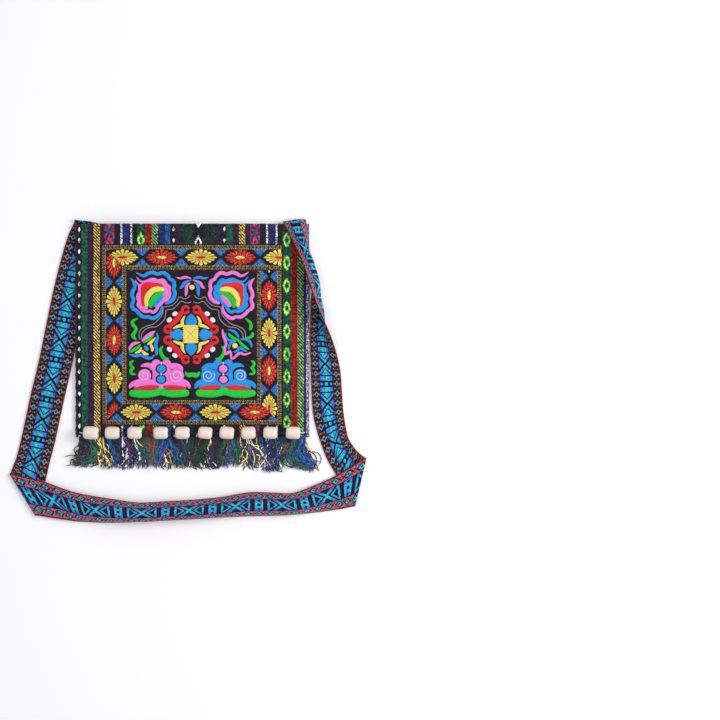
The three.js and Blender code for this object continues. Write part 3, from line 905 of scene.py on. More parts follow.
def across_section(section, run):
    """Points across a section. The band keeps its width, so where its edges lie near each other
    it arches to one side, more towards the second edge."""
    first, second, arch = section
    chord = second - first
    normal = run.cross(chord)
    wanted = STRAP_WIDTH * chord.length / normal.length
    normal = normal.normalized() * (1 if arch >= 0 else -1)

    def curve(height):
        shares = [i / ARCH_STEPS for i in range(ARCH_STEPS + 1)]
        return [first + chord * v + normal * (height * math.sin(math.pi * v**HUMP_LEAN)) for v in shares]

    low, high = 0.0, STRAP_WIDTH / 2
    for _ in range(ARCH_STEPS):
        middle = (low + high) / 2
        if distances(curve(middle))[-1] < wanted:
            low = middle
        else:
            high = middle
    return spaced(curve(low * abs(arch)), STRAP_ACROSS)


def spaced(line, count):
    """count + 1 points evenly spaced along a line of points."""
    total = distances(line)[-1]
    out = [line[0].copy()]
    walked = 0.0
    for a, b in zip(line, line[1:]):
        step = (b - a).length
        while len(out) < count and walked + step >= total * len(out) / count:
            out.append(a.lerp(b, (total * len(out) / count - walked) / step))
        walked += step
    out.append(line[-1].copy())
    return out


def strap_grid():
    """Rows of points across the strap, and how far the pattern has run at each row."""
    sections, runs = strap_sections()
    middles = [first.lerp(second, 0.5) for first, second, _ in sections]
    last = len(sections) - 1
    rows, reaches = [], []
    for i, section in enumerate(sections):
        run = (middles[min(i + 1, last)] - middles[max(i - 1, 0)]).normalized()
        points = across_section(section, run)
        for point in points:
            point.z = max(point.z, STRAP_THICKNESS / 2)
        rows.append(points)
        reaches.append(drawn_across(points, DRAWN_SHARE * abs(section[2]) if runs[i] == "lower" else 0.0))
    return rows, reaches, pattern_run(rows, runs)


def drawn_across(row, amount):
    """Where the pattern lies on each point across a row, drawn by an amount to its place in the plan:
    the arched band of the lower run shows both of its borders from above."""
    chord = row[-1] - row[0]
    chord.z = 0
    places = []
    for j, point in enumerate(row):
        plan = clamp01((point - row[0]).dot(chord) / chord.length_squared)
        share = j / STRAP_ACROSS * (1 - amount) + plan * amount
        places.append((share - 0.5) * STRAP_WIDTH)
    return places


def pattern_run(rows, runs):
    """Place of each row in the woven pattern, counted in the pattern's own millimetres."""
    middle = len(rows[0]) // 2
    centres = [row[middle] for row in rows]
    walked = distances(centres)
    run_places = {}
    for name, (mark, pitch) in STRAP_MARKS.items():
        axis = 0 if name == "lower" else 1
        members = [i for i, run in enumerate(runs) if run == name]
        nearest = min(members, key=lambda i: abs(centres[i][axis] - mark))
        for i in members:
            run_places[i] = (walked[i] - walked[nearest]) * STRAP_PERIOD / pitch
    return joined_places(run_places, walked, runs)


def joined_places(run_places, walked, runs):
    """Adds whole periods so that the pattern runs on from run to run, and fills the turns between."""
    places = []
    shift = 0.0
    for i, run in enumerate(runs):
        if run == "turn":
            places.append(places[-1] + walked[i] - walked[i - 1])
            continue
        if i and runs[i - 1] == "turn":
            wanted = places[-1] + walked[i] - walked[i - 1]
            shift = round((wanted - run_places[i]) / STRAP_PERIOD) * STRAP_PERIOD
        places.append(run_places[i] + shift)
    return places


def make_strap():
    rows, reaches, places = strap_grid()
    last = len(rows) - 1

    def point(u, v):
        return rows[round(u * last)][round(v * STRAP_ACROSS)]

    def weave(u, v):
        return places[round(u * last)], reaches[round(u * last)][round(v * STRAP_ACROSS)]

    mesh = new_mesh()
    add_grid(mesh, last, STRAP_ACROSS, point, weave)
    faces = [woven_strap("strap, first face", True), woven_strap("strap, second face", False)]
    strap = finish_piece("woven_strap", mesh, faces, ["strap"])
    thicken(strap, STRAP_THICKNESS * 0.9, offset=0.0, other_face=1)
    centre_line = [row[len(row) // 2] for row in rows]
    length = distances(centre_line)[-1] * MM
    return strap


# Pouch walls


def wall(name, material, nodes, top, bottom):
    """A cloth wall of the pouch between two height functions."""
    mesh = new_mesh()

    def surface(height):
        def place(u, v):
            x = -HALF_WIDTH - SELVEDGE_LEFT + u * (BAG_WIDTH + SELVEDGE_LEFT + SELVEDGE_RIGHT)
            y = v * BAG_HEIGHT
            ragged = SELVEDGE_RAG * math.sin(y * RAG_WAVES[0]) * math.sin(y * RAG_WAVES[1] + 1.0)
            edge = x + (ragged if u < 0.01 else 0.0)
            return Vector((edge, y, height(x, y)))

        return add_grid(mesh, *WALL_STEPS, place)[1]

    surface(top)
    under = surface(bottom)
    bmesh.ops.reverse_faces(mesh, faces=list(under))
    rim = [edge for edge in mesh.edges if edge.is_boundary]
    bmesh.ops.bridge_loops(mesh, edges=rim)
    return finish_piece(name, mesh, [material], nodes)


def make_pouch():
    front = wall(
        "front_wall",
        striped_cloth("striped cloth, front", FRONT_START, 1),
        ["front_panel"],
        front_top,
        lambda x, y: front_top(x, y) - CLOTH - hem(x, y),
    )
    back = wall(
        "back_wall",
        striped_cloth("striped cloth, back", BACK_START, -1),
        ["back_panel"],
        lambda x, y: back_top(x, y) + hem(x, y),
        lift,
    )
    return front, back


def laid_cloth(mesh, steps_u, steps_v, plan, uv):
    """A grid laid on the front wall; plan(u, v) gives its x and y."""

    def place(u, v):
        x, y = plan(u, v)
        return Vector((x, y, laid_top(x, y)))

    return add_grid(mesh, steps_u, steps_v, place, uv)


def make_patch():
    size = PATCH_SIZE - 2 * GAP
    mesh = new_mesh()

    def plan(u, v):
        return FRAME_X + (u - 0.5) * size, FRAME_Y + (v - 0.5) * size

    laid_cloth(mesh, PATCH_STEPS, PATCH_STEPS, plan, lambda u, v: (u, v))
    patch = finish_piece("embroidery_ground", mesh, [dark_ground()], ["embroidered_panel"])
    thicken(patch, PATCH_THICKNESS)
    return patch


# Embroidery

# The chart's coordinates and widths are hundredths of the square's side, from its middle, Y up
CHART_UNIT = 1.44
CHART_X = FRAME_X + 1.6
CHART_Y = FRAME_Y + 0.8
PAIR_AXIS = -0.6
ROSETTE_X = -1.5
ROSETTE_Y = -0.4
SATIN_STEP = 1.5
SATIN_SIDES = 10
SATIN_SINK = 0.25
SATIN_CROWN = 0.6
LAYER_RISE = 0.22
SHORT_BAND = 14
COIL_STEPS = 14
BAND_SPAN_STEPS = 6

# Bands of satin stitch: thread, layer, set, then (x, y, width) along the band's middle. The set
# "pair" is repeated mirrored with blue and pink exchanged, and "four" in each quarter of the rosette
BUDS = [
    ("pink", 0, "pair", [
        (-34.0, 19.4, 2.6), (-38.4, 21.4, 3.2), (-39.3, 28.0, 3.8), (-38.9, 36.2, 4.6),
        (-31.0, 38.9, 3.6), (-23.4, 38.3, 3.2), (-20.6, 34.2, 3.2), (-21.1, 29.0, 3.6),
        (-24.4, 23.6, 3.2), (-28.6, 20.0, 3.0),
    ]),
    ("blue", 0, "pair", [
        (-43.7, 47.4, 0.6), (-40.5, 45.2, 1.6), (-37.2, 44.2, 2.4), (-34.7, 45.8, 2.9),
        (-30.8, 46.9, 3.0), (-26.9, 45.6, 2.8), (-22.8, 46.6, 3.0), (-19.2, 44.5, 3.0),
        (-17.6, 41.9, 2.7), (-15.0, 40.3, 3.0), (-14.2, 36.8, 3.0), (-14.7, 34.2, 2.7),
        (-13.8, 31.0, 3.1), (-15.0, 27.1, 3.2), (-17.6, 24.6, 3.0), (-21.8, 23.1, 1.6),
    ]),
    ("blue", 0, "pair", [
        (-48.2, 42.6, 0.6), (-46.2, 41.0, 1.8), (-44.6, 38.1, 2.7), (-44.5, 35.5, 2.8),
        (-45.9, 32.3, 3.0), (-46.4, 29.1, 3.0), (-45.2, 26.2, 2.7), (-46.4, 22.3, 3.0),
        (-45.6, 19.4, 3.0), (-43.0, 17.8, 2.7), (-40.5, 15.0, 3.0), (-37.2, 13.0, 2.9),
        (-34.0, 13.2, 2.7), (-30.8, 12.0, 3.0), (-27.6, 13.3, 2.9), (-24.7, 16.5, 2.5),
        (-23.7, 20.4, 1.6), (-24.1, 22.6, 0.8),
    ]),
    ("pink", 0, "pair", [
        (-43.4, 43.9, 0.5), (-40.8, 41.0, 1.2), (-38.2, 39.7, 1.8), (-34.7, 40.3, 2.6),
        (-30.8, 41.6, 2.8), (-26.3, 40.5, 2.5), (-23.1, 41.1, 2.7), (-21.2, 39.4, 2.7),
        (-19.9, 37.1, 2.6), (-17.9, 35.8, 2.6), (-18.2, 33.6, 2.5), (-17.7, 30.4, 2.8),
        (-19.2, 27.1, 2.7), (-22.1, 24.6, 2.0),
    ]),
    ("pink", 0, "pair", [
        (-44.3, 41.6, 0.5), (-42.4, 38.4, 1.3), (-40.5, 36.1, 2.2), (-40.4, 32.3, 2.6),
        (-41.7, 29.7, 2.8), (-41.9, 27.1, 2.7), (-41.1, 24.9, 2.5), (-41.9, 22.3, 2.8),
        (-40.1, 20.1, 2.7), (-38.2, 18.1, 2.7), (-35.6, 17.2, 2.6), (-32.7, 17.6, 2.5),
        (-30.2, 16.7, 2.7), (-27.6, 18.8, 2.6), (-26.0, 21.7, 1.5),
    ]),
    ("red", 1, "pair", [
        (-37.0, 20.3, 2.4), (-37.9, 25.5, 3.6), (-37.6, 31.5, 4.8), (-36.4, 36.2, 6.2),
        (-30.5, 37.2, 5.0), (-22.4, 36.6, 2.8),
    ]),
    ("yellow", 2, "pair", [
        (-35.0, 20.3, 2.2), (-35.5, 25.9, 3.9), (-33.2, 30.6, 4.6), (-29.6, 33.6, 4.6),
        (-25.3, 34.3, 4.0), (-21.4, 33.4, 2.2),
    ]),
    ("green", 2, "pair", [
        (-32.2, 19.6, 2.4), (-32.0, 23.4, 3.8), (-29.4, 27.4, 4.4), (-26.1, 30.1, 4.2),
        (-23.5, 31.3, 3.4), (-21.2, 31.6, 1.8),
    ]),
    ("blue", 2, "pair", [
        (-30.2, 20.6, 2.0), (-27.6, 23.8, 3.8), (-25.0, 26.9, 3.9), (-22.2, 29.6, 2.2),
    ]),
]
SPRAY = [
    ("pink", 0, "pair", [(-13.4, 43.5, 0.5), (-9.9, 42.3, 1.7), (-5.7, 43.2, 2.2), (-0.9, 42.2, 0.8)]),
    ("blue", 0, "pair", [
        (-10.5, 34.5, 1.0), (-8.3, 36.1, 2.4), (-6.7, 38.7, 2.4), (-3.5, 40.4, 1.5), (-0.4, 41.2, 0.6),
    ]),
    ("pink", 0, "pair", [(-5.7, 28.4, 0.9), (-5.1, 32.3, 2.5), (-4.8, 36.5, 2.4), (-1.9, 39.2, 1.0)]),
    ("yellow", 1, "once", [(-2.8, 35.6, 4.0), (1.2, 35.6, 4.0)]),
]
FINE = 0.62
WHITE_LINES = [
    ("pale", 0, "pair", [
        (-1.9, 29.9, FINE), (-4.1, 27.5, FINE), (-7.0, 26.8, FINE), (-10.2, 28.4, FINE),
        (-12.2, 25.2, FINE), (-14.7, 22.6, FINE), (-18.6, 21.0, FINE), (-22.1, 20.6, FINE),
        (-22.8, 18.1, FINE), (-23.7, 14.3, FINE), (-27.6, 9.8, FINE), (-30.8, 7.5, FINE),
        (-36.3, 5.6, FINE), (-39.5, 3.7, FINE), (-41.1, 0.1, FINE), (-40.3, -4.6, FINE),
    ]),
    ("pale", 0, "pair", [
        (-0.9, 24.6, FINE), (-5.1, 23.6, FINE), (-8.9, 24.9, FINE), (-12.2, 21.7, FINE),
        (-15.4, 19.1, FINE), (-20.2, 18.3, FINE), (-20.8, 15.6, FINE), (-21.5, 11.7, FINE),
        (-24.4, 8.2, FINE), (-28.2, 5.6, FINE), (-33.4, 5.0, FINE), (-37.2, 2.7, FINE),
        (-39.0, -0.4, FINE), (-39.4, -4.6, FINE),
    ]),
]
ROSETTE = [
    *[("yellow", 1, "once", [(-8.2, -5.9 + 1.7 * i, 2.0), (4.4, -5.9 + 1.7 * i, 2.0)]) for i in range(8)],
    ("pale", 2, "once", [(-7.4, -6.0, 0.5), (3.8, 6.0, 0.5)]),
    ("pale", 2, "once", [(-7.4, 6.0, 0.5), (3.8, -6.0, 0.5)]),
    ("blue", 0, "four", [(0.0, 6.0, 9.6), (0.0, 9.4, 9.6), (0.0, 12.6, 7.0), (0.0, 16.0, 1.6)]),
    ("blue", 0, "four", [(-6.0, 0.0, 9.6), (-9.4, 0.0, 9.6), (-12.8, 0.0, 7.0), (-16.6, 0.0, 1.6)]),
    ("yellow", 1, "four", [
        (-4.3, 14.6, 0.8), (-6.6, 10.8, 2.3), (-6.9, 7.4, 2.9), (-10.1, 6.3, 2.4), (-14.2, 4.4, 0.9),
    ]),
    ("red", 0, "four", [
        (-6.2, 18.0, 2.8), (-8.6, 15.2, 4.2), (-11.3, 11.2, 4.2), (-14.5, 8.3, 4.0), (-17.0, 6.0, 2.8),
    ]),
    ("white", 1, "four", [(-10.4, 16.9, 3.4), (-14.2, 14.8, 3.4)]),
    ("white", 1, "four", [(-14.9, 12.8, 3.5), (-18.0, 9.6, 3.5)]),
]
LEFT_SPRIG = [
    ("pink", 0, "once", [(-39.2, -6.1, 0.7), (-36.6, -2.9, 2.6), (-32.1, 0.2, 3.0), (-28.6, 2.4, 0.8)]),
    ("green", 0, "once", [(-38.4, -6.8, 0.8), (-34.0, -3.9, 2.8), (-29.5, -0.4, 0.9)]),
    ("yellow", 0, "once", [
        (-34.9, -8.0, 1.2), (-32.1, -6.3, 2.4), (-30.4, -4.6, 1.8), (-28.4, -2.4, 0.8),
    ]),
    ("yellow", 0, "once", [(-32.4, -7.6, 1.8), (-31.1, -10.3, 2.4), (-31.1, -13.4, 1.6)]),
    ("blue", 0, "once", [
        (-27.7, 1.2, 1.0), (-26.9, -2.6, 1.9), (-28.4, -7.4, 2.8), (-27.8, -12.2, 2.6),
        (-27.9, -16.8, 1.2),
    ]),
    ("blue", 0, "once", [
        (-48.9, -15.1, 1.0), (-43.9, -16.6, 2.2), (-39.5, -15.9, 2.4), (-35.6, -17.9, 2.4),
        (-32.1, -18.2, 2.0), (-29.2, -15.6, 1.4),
    ]),
    ("yellow", 0, "once", [(-44.4, -14.5, 0.8), (-40.7, -12.9, 2.3), (-39.2, -9.8, 1.0)]),
    ("yellow", 0, "once", [(-39.0, -12.4, 1.8), (-36.4, -14.9, 2.5), (-33.6, -15.4, 1.2)]),
    ("blue", 1, "once", [(-37.0, -8.6, 1.6), (-35.6, -10.6, 3.2), (-34.2, -12.7, 1.6)]),
    ("pink", 0, "once", [
        (-39.8, -6.4, 0.8), (-44.3, -6.9, 2.6), (-47.5, -9.4, 2.6), (-48.8, -12.7, 0.9),
    ]),
    ("green", 0, "once", [
        (-39.5, -7.7, 0.8), (-42.9, -10.6, 2.7), (-46.9, -12.9, 2.0), (-49.2, -13.9, 0.6),
    ]),
]
RIGHT_SPRIG = [
    ("blue", 0, "once", [(26.2, 3.4, 0.8), (30.8, 2.2, 1.9), (33.6, -0.6, 1.9), (34.5, -3.6, 0.9)]),
    ("blue", 0, "once", [(25.2, 1.4, 1.0), (24.4, -1.6, 1.7), (27.2, -4.6, 1.9), (32.6, -5.0, 0.9)]),
    ("green", 0, "once", [
        (26.4, 0.8, 1.2), (30.0, -2.6, 2.4), (34.4, -4.8, 1.5), (37.4, -8.2, 2.4), (42.6, -11.9, 1.2),
    ]),
    ("blue", 0, "once", [(35.4, -3.7, 1.1), (40.3, -4.2, 2.1), (43.7, -6.6, 2.1), (44.5, -10.6, 0.8)]),
    ("green", 0, "once", [(45.0, 1.6, 1.4), (45.2, -0.6, 2.8), (42.8, -2.5, 2.2), (39.4, -3.0, 0.9)]),
    ("blue", 0, "once", [(33.2, -5.4, 1.0), (29.2, -6.3, 2.1), (27.4, -8.9, 2.0), (27.3, -12.2, 1.2)]),
    ("blue", 0, "once", [
        (30.2, -13.6, 1.3), (33.7, -12.9, 2.0), (35.0, -10.2, 2.0), (38.2, -12.0, 1.9),
        (41.3, -13.4, 0.9),
    ]),
    ("yellow", 1, "once", [(29.7, -8.8, 4.2), (33.9, -8.8, 4.2)]),
    ("pink", 0, "once", [
        (22.4, 4.2, 0.9), (22.9, -0.4, 2.3), (25.0, -7.1, 2.3), (24.0, -10.6, 2.4), (24.4, -14.9, 2.6),
        (28.3, -13.3, 2.2), (29.2, -18.8, 1.6), (32.4, -16.7, 2.0), (35.6, -14.3, 2.2),
        (39.1, -15.5, 1.7), (44.2, -13.9, 1.2),
    ]),
]
MOUNDS = [
    ("pink", 0, "pair", [(-31.6, -22.6, 7.2), (-24.4, -22.6, 7.2)]),
    ("pink", 0, "pair", [(-23.8, -22.6, 7.2), (-16.6, -22.6, 7.2)]),
    ("pink", 0, "pair", [(-42.2, -31.6, 10.6), (-31.8, -31.6, 10.6)]),
    ("pink", 0, "pair", [(-18.4, -31.4, 11.6), (-6.8, -31.4, 11.6)]),
    ("pink", 0, "pair", [(-45.8, -38.2, 7.4), (-24.1, -38.0, 7.4), (-4.6, -38.2, 7.4)]),
    ("pink", 0, "pair", [
        (-24.1, -20.9, 8.0), (-24.1, -23.0, 15.4), (-24.1, -27.0, 15.2), (-24.1, -31.0, 14.2),
        (-24.1, -35.0, 18.0), (-24.1, -38.4, 26.0),
    ]),
    ("pink", 1, "pair", [
        (-48.4, -41.6, 1.6), (-47.2, -38.8, 3.2), (-43.2, -36.8, 4.2), (-37.2, -35.9, 4.6),
        (-30.0, -36.8, 4.0), (-24.2, -37.6, 3.2), (-18.4, -36.6, 4.0), (-12.0, -36.0, 4.8),
        (-6.4, -36.6, 4.2), (-3.6, -38.9, 3.2), (-2.6, -41.8, 1.6),
    ]),
    ("pink", 1, "pair", [
        (-40.2, -24.7, 0.9), (-36.3, -23.5, 3.2), (-32.1, -24.2, 4.4), (-29.6, -27.6, 4.4),
    ]),
    ("pink", 1, "pair", [
        (-18.6, -25.8, 4.4), (-15.8, -24.2, 4.4), (-12.2, -24.4, 4.4), (-9.2, -26.2, 3.6),
        (-8.3, -28.6, 0.9),
    ]),
    ("red", 2, "pair", [
        (-45.6, -41.6, 1.0), (-37.2, -40.6, 3.6), (-30.8, -40.6, 4.0), (-25.2, -39.6, 1.2),
    ]),
    ("red", 2, "pair", [
        (-23.4, -39.6, 1.2), (-17.9, -40.4, 3.6), (-11.5, -40.9, 4.0), (-5.0, -41.0, 1.6),
    ]),
    ("green", 1, "pair", [
        (-49.0, -44.6, 4.8), (-40.5, -45.4, 6.2), (-32.4, -45.2, 6.0), (-27.8, -44.4, 5.2),
        (-24.8, -43.4, 6.2), (-21.8, -44.4, 5.2), (-17.0, -45.2, 5.8), (-10.0, -45.0, 6.0),
        (-2.8, -44.6, 5.0),
    ]),
    ("dark", 2, "pair", [(-28.5, -26.4, 8.8), (-19.7, -26.4, 8.8)]),
    ("dark", 2, "pair", [(-28.6, -34.4, 8.6), (-20.0, -34.4, 8.6)]),
    ("blue", 3, "pair", [(-27.5, -26.4, 6.8), (-20.7, -26.4, 6.8)]),
    ("blue", 3, "pair", [(-27.5, -34.5, 6.4), (-21.1, -34.5, 6.4)]),
    ("white", 3, "pair", [(-24.2, -20.9, 0.7), (-24.1, -23.4, 0.7)]),
    ("white", 3, "pair", [(-24.2, -29.6, 1.3), (-24.2, -31.4, 1.3)]),
]
LEAVES = [
    ("green", 0, "once", [
        (-41.6, 12.0, 0.8), (-45.9, 9.8, 2.4), (-45.6, 6.9, 2.7), (-43.4, 4.0, 2.8), (-44.6, 1.0, 2.6),
        (-45.9, -1.2, 3.0), (-42.7, -4.6, 1.4),
    ]),
    ("green", 0, "once", [(39.4, 12.2, 0.9), (43.2, 9.0, 2.2), (44.0, 5.6, 2.6), (42.7, 2.7, 2.6)]),
    ("green", 0, "pair", [
        (-44.8, -19.9, 0.9), (-47.4, -21.6, 2.2), (-47.1, -24.2, 2.1), (-45.4, -25.7, 2.0),
        (-47.3, -27.4, 2.4), (-46.9, -30.0, 2.2), (-43.2, -30.4, 1.0),
    ]),
    ("green", 0, "pair", [
        (-22.6, -9.0, 1.0), (-24.9, -11.9, 2.5), (-23.6, -16.1, 2.7), (-21.2, -18.7, 2.6),
        (-17.9, -18.3, 1.0),
    ]),
    ("green", 0, "once", [
        (-6.2, -28.4, 1.2), (-4.2, -31.0, 3.4), (-0.4, -30.8, 3.6), (2.8, -31.2, 3.4),
        (5.2, -28.4, 1.2),
    ]),
]

# Coils of satin stitch: thread, layer, set, middle, first and last radius, turns, first angle, width
COILS = [
    ("red", 1, "four", -4.2, 18.9, 2.4, 2.4, 1.0, 0, 2.4),
    ("red", 1, "four", -17.6, 4.1, 2.4, 2.4, 1.0, 0, 2.4),
    ("pink", 1, "pair", -37.0, -31.6, 3.6, 0.9, 1.8, 60, 2.6),
    ("pink", 1, "pair", -12.6, -31.6, 4.0, 0.9, 1.8, 120, 2.8),
    ("grey", 3, "pair", -37.0, -31.6, 4.6, 1.0, 1.7, 30, 0.6),
    ("grey", 3, "pair", -12.6, -31.6, 5.2, 1.0, 1.7, 150, 0.6),
]
SATIN_DYES = {
    "blue": dye(10, 152, 240),
    "pink": dye(246, 124, 222),
    "red": dye(228, 26, 42),
    "yellow": dye(250, 228, 104),
    "green": dye(0, 208, 56),
    "white": dye(240, 236, 240),
    "grey": dye(226, 216, 228),
    "pale": dye(158, 148, 160),
    "dark": dye(20, 12, 24),
}
EXCHANGED = {"blue": "pink", "pink": "blue"}


def coil_line(x, y, first, last, turns, angle, width):
    """Points of a coil that runs from its first radius to its last."""
    count = round(turns * COIL_STEPS)
    line = []
    for i in range(count + 1):
        t = i / count
        radius = first + (last - first) * t
        turn = math.radians(angle) + 2 * math.pi * turns * t
        line.append((x + radius * math.cos(turn), y + radius * math.sin(turn), width))
    return line


def copies_of(thread, repeat, line):
    """The band itself and its mirrored copies, each with its thread."""
    if repeat == "pair":
        other = EXCHANGED.get(thread, thread)
        return [(thread, line), (other, [(2 * PAIR_AXIS - x, y, w) for x, y, w in line])]
    if repeat == "four":
        corners = [(1, 1), (-1, 1), (1, -1), (-1, -1)]
        quarters = [[(ROSETTE_X + x * a, ROSETTE_Y + y * b, w) for x, y, w in line] for a, b in corners]
        return [(thread, quarter) for quarter in quarters]
    return [(thread, line)]


def satin_bands():
    """Every band of the embroidery: thread, layer and its line."""
    for table in (BUDS, SPRAY, WHITE_LINES, ROSETTE, LEFT_SPRIG, RIGHT_SPRIG, MOUNDS, LEAVES):
        for thread, layer, repeat, line in table:
            for dyed, copy in copies_of(thread, repeat, through(line, BAND_SPAN_STEPS)):
                yield dyed, layer, copy
    for thread, layer, repeat, *coil in COILS:
        for dyed, copy in copies_of(thread, repeat, coil_line(*coil)):
            yield dyed, layer, copy


def even_band(line):
    """The band's line in the bag's millimetres, its points evenly spaced and its ends rounded."""
    spots = [Vector((CHART_X, CHART_Y, 0)) + Vector(point) * CHART_UNIT for point in line]
    walked = distances([spot.xy for spot in spots])
    length = walked[-1]
    count = max(8, round(length / SATIN_STEP))
    out = []
    segment = 0
    for i in range(count + 1):
        share = i / count
        at = length * ((1 - math.cos(math.pi * share)) / 2 if length < SHORT_BAND else share)
        while segment < len(walked) - 2 and walked[segment + 1] < at:
            segment += 1
        span = max(walked[segment + 1] - walked[segment], 1e-6)
        spot = spots[segment].lerp(spots[segment + 1], (at - walked[segment]) / span)
        end = min(at, length - at) / (spot.z / 2)
        rounding = math.sqrt(max(0.0, 1 - (1 - clamp01(end)) ** 2))
        out.append((spot.x, spot.y, spot.z * rounding, at))
    return out


def add_satin(mesh, line, layer, material):
    """One raised band of satin stitch over the ground cloth; its stitches run across it."""
    points = even_band(line)
    last = len(points) - 1
    base = layer * LAYER_RISE
    sides = []
    for i in range(last + 1):
        ahead, behind = points[min(i + 1, last)], points[max(i - 1, 0)]
        run = Vector((ahead[0] - behind[0], ahead[1] - behind[1])).normalized()
        sides.append(Vector((run.y, -run.x)))

    def place(u, v):
        i = round(u * last)
        x, y, width, _ = points[i]
        angle = 2 * math.pi * v
        across = math.cos(angle) * width / 2
        crown = min(SATIN_CROWN, 0.22 + 0.09 * width) * min(1.0, width / 0.8)
        up = math.sin(angle)
        rise = base + crown * up**0.75 if up > 0 else base + (base + SATIN_SINK) * up
        px, py = x + sides[i].x * across, y + sides[i].y * across
        return Vector((px, py, laid_top(px, py) + rise))

    def uv(u, v):
        return points[round(u * last)][3], math.cos(2 * math.pi * v) * points[round(u * last)][2] / 2

    for face in add_grid(mesh, last, SATIN_SIDES, place, uv)[1]:
        face.material_index = material


def satin(name, colour):
    """Glossy stitches laid side by side across a band."""
    paint = Paint(name, roughness=0.42, sheen=0.2)
    along, across = paint.pattern()
    # Painted sheen: stitch and shine are light and dark streaks along the stitches, painted into the
    # colour, and ridge adds painted shade between the stitch ridges.
    stitch = paint.noise(paint.vector(along * 1.0, across * 0.12, 0.0), 0.55, 2.0)
    shine = paint.noise(paint.vector(along * 0.3, across * 0.5, 4.0), 2.2, 2.0)
    ridge = abs((along * (math.pi / 0.5)).sine())
    shade = 0.55 + stitch * 0.5 + shine * 0.35 + ridge * 0.08
    return paint.coat(paint.tint(colour, shade), ridge * 0.6 + stitch * 0.8, depth=0.3)


def make_embroidery():
    mesh = new_mesh()
    threads_used = list(SATIN_DYES)
    for thread, layer, line in satin_bands():
        add_satin(mesh, line, layer, threads_used.index(thread))
    bmesh.ops.remove_doubles(mesh, verts=mesh.verts, dist=0.002)
    bmesh.ops.dissolve_degenerate(mesh, edges=mesh.edges, dist=0.0005)
    bmesh.ops.recalc_face_normals(mesh, faces=mesh.faces)
    materials = [satin(f"{thread} satin stitch", colour) for thread, colour in SATIN_DYES.items()]
    return finish_piece("satin_embroidery", mesh, materials, [])


# Ribbons: turn is the side of the square in quarter turns from its lower side, start and end the cuts
# (mitre, outer edge or inner edge), and flower the place of a yellow flower's middle along the ribbon
RIBBONS = [
    ("trim_bottom", 0, "mitre", "mitre", -60.8, 43.3),
    ("trim_right", 1, "mitre", "inner", 1.9, 41.4),
    ("trim_top", 2, "outer", "mitre", -10.4, 42.9),
    ("trim_left", 3, "mitre", "mitre", -36.6, 42.2),
]


def cut_reach(kind, v):
    """How far a ribbon's end reaches from the frame's middle, v from its outer to its inner edge."""
    inner = PATCH_SIZE / 2
    outer = inner + RIBBON_WIDTH
    reaches = {"outer": outer, "inner": inner, "mitre": outer - v * RIBBON_WIDTH}
    return reaches[kind] - GAP / 2


def make_ribbon(name, turn, start, end, flower, pitch, material):
    quarter = turn * math.pi / 2
    cos, sin = math.cos(quarter), math.sin(quarter)

    def spot(u, v):
        low, high = cut_reach(start, v), cut_reach(end, v)
        return -low + u * (low + high), -cut_reach("outer", v) - GAP / 2 + v * RIBBON_WIDTH

    def plan(u, v):
        along, across = spot(u, v)
        return FRAME_X + along * cos - across * sin, FRAME_Y + along * sin + across * cos

    def uv(u, v):
        return (spot(u, v)[0] - flower) * FLOWER_PITCH / pitch, (v - 0.5) * RIBBON_WIDTH

    mesh = new_mesh()
    laid_cloth(mesh, *RIBBON_STEPS, plan, uv)
    ribbon = finish_piece(name.replace("trim", "ribbon"), mesh, [material], [name])
    thicken(ribbon, RIBBON_THICKNESS)
    length = 2 * cut_reach("outer", 0.5) * MM
    share = (cut_reach(start, 0.5) + cut_reach(end, 0.5)) * MM / length
    area = RIBBON_WIDTH * MM * length * share
    return ribbon


# Beads: x is a share of the bag's width, size a share of the bead's size
BEADS = [
    (-0.442, 1.06),
    (-0.348, 1.0),
    (-0.25, 0.98),
    (-0.135, 1.0),
    (-0.04, 1.0),
    (0.06, 0.97),
    (0.155, 1.0),
    (0.25, 1.0),
    (0.346, 0.98),
    (0.446, 1.0),
]

# Half a bead's outline, from the bore to the waist: radius and place as shares of its half size
BEAD_OUTLINE = [
    (0.24, 0.94),
    (0.3, 0.99),
    (0.5, 1.0),
    (0.66, 0.985),
    (0.82, 0.9),
    (0.93, 0.74),
    (0.985, 0.48),
    (1.0, 0.2),
]
BEAD_SIDES = 40


def bead_height(x, size):
    radius = BEAD_DIAMETER * size / 2
    return front_top(x, BEAD_ROW + radius / 2) + GAP + radius


def make_bead(number, share, size, wood, dice):
    """A turned barrel bead with soft shoulders, its bore along X."""
    radius, half = BEAD_DIAMETER * size / 2, BEAD_LENGTH * size / 2
    outline = [(r, a) for r, a in BEAD_OUTLINE] + [(r, -a) for r, a in reversed(BEAD_OUTLINE)]
    mesh = new_mesh()
    verts = [mesh.verts.new((along * half, 0, r * radius)) for r, along in outline]
    edges = [mesh.edges.new(pair) for pair in zip(verts, verts[1:])]
    edges.append(mesh.edges.new((verts[-1], verts[0])))
    bmesh.ops.spin(
        mesh, geom=verts + edges, cent=(0, 0, 0), axis=(1, 0, 0), angle=2 * math.pi, steps=BEAD_SIDES,
        use_merge=True,
    )
    bmesh.ops.remove_doubles(mesh, verts=mesh.verts, dist=0.001)
    bmesh.ops.recalc_face_normals(mesh, faces=mesh.faces)
    tilt = Matrix.Rotation(math.radians(dice.uniform(-BEAD_TILT, BEAD_TILT)), 4, "Z")
    x = share * BAG_WIDTH
    place = Matrix.Translation((x, BEAD_ROW, bead_height(x, size))) @ tilt
    bmesh.ops.transform(mesh, matrix=place, verts=mesh.verts)
    name = f"bead_{number:02d}"
    return finish_piece(f"wooden_{name}", mesh, [wood], [name])


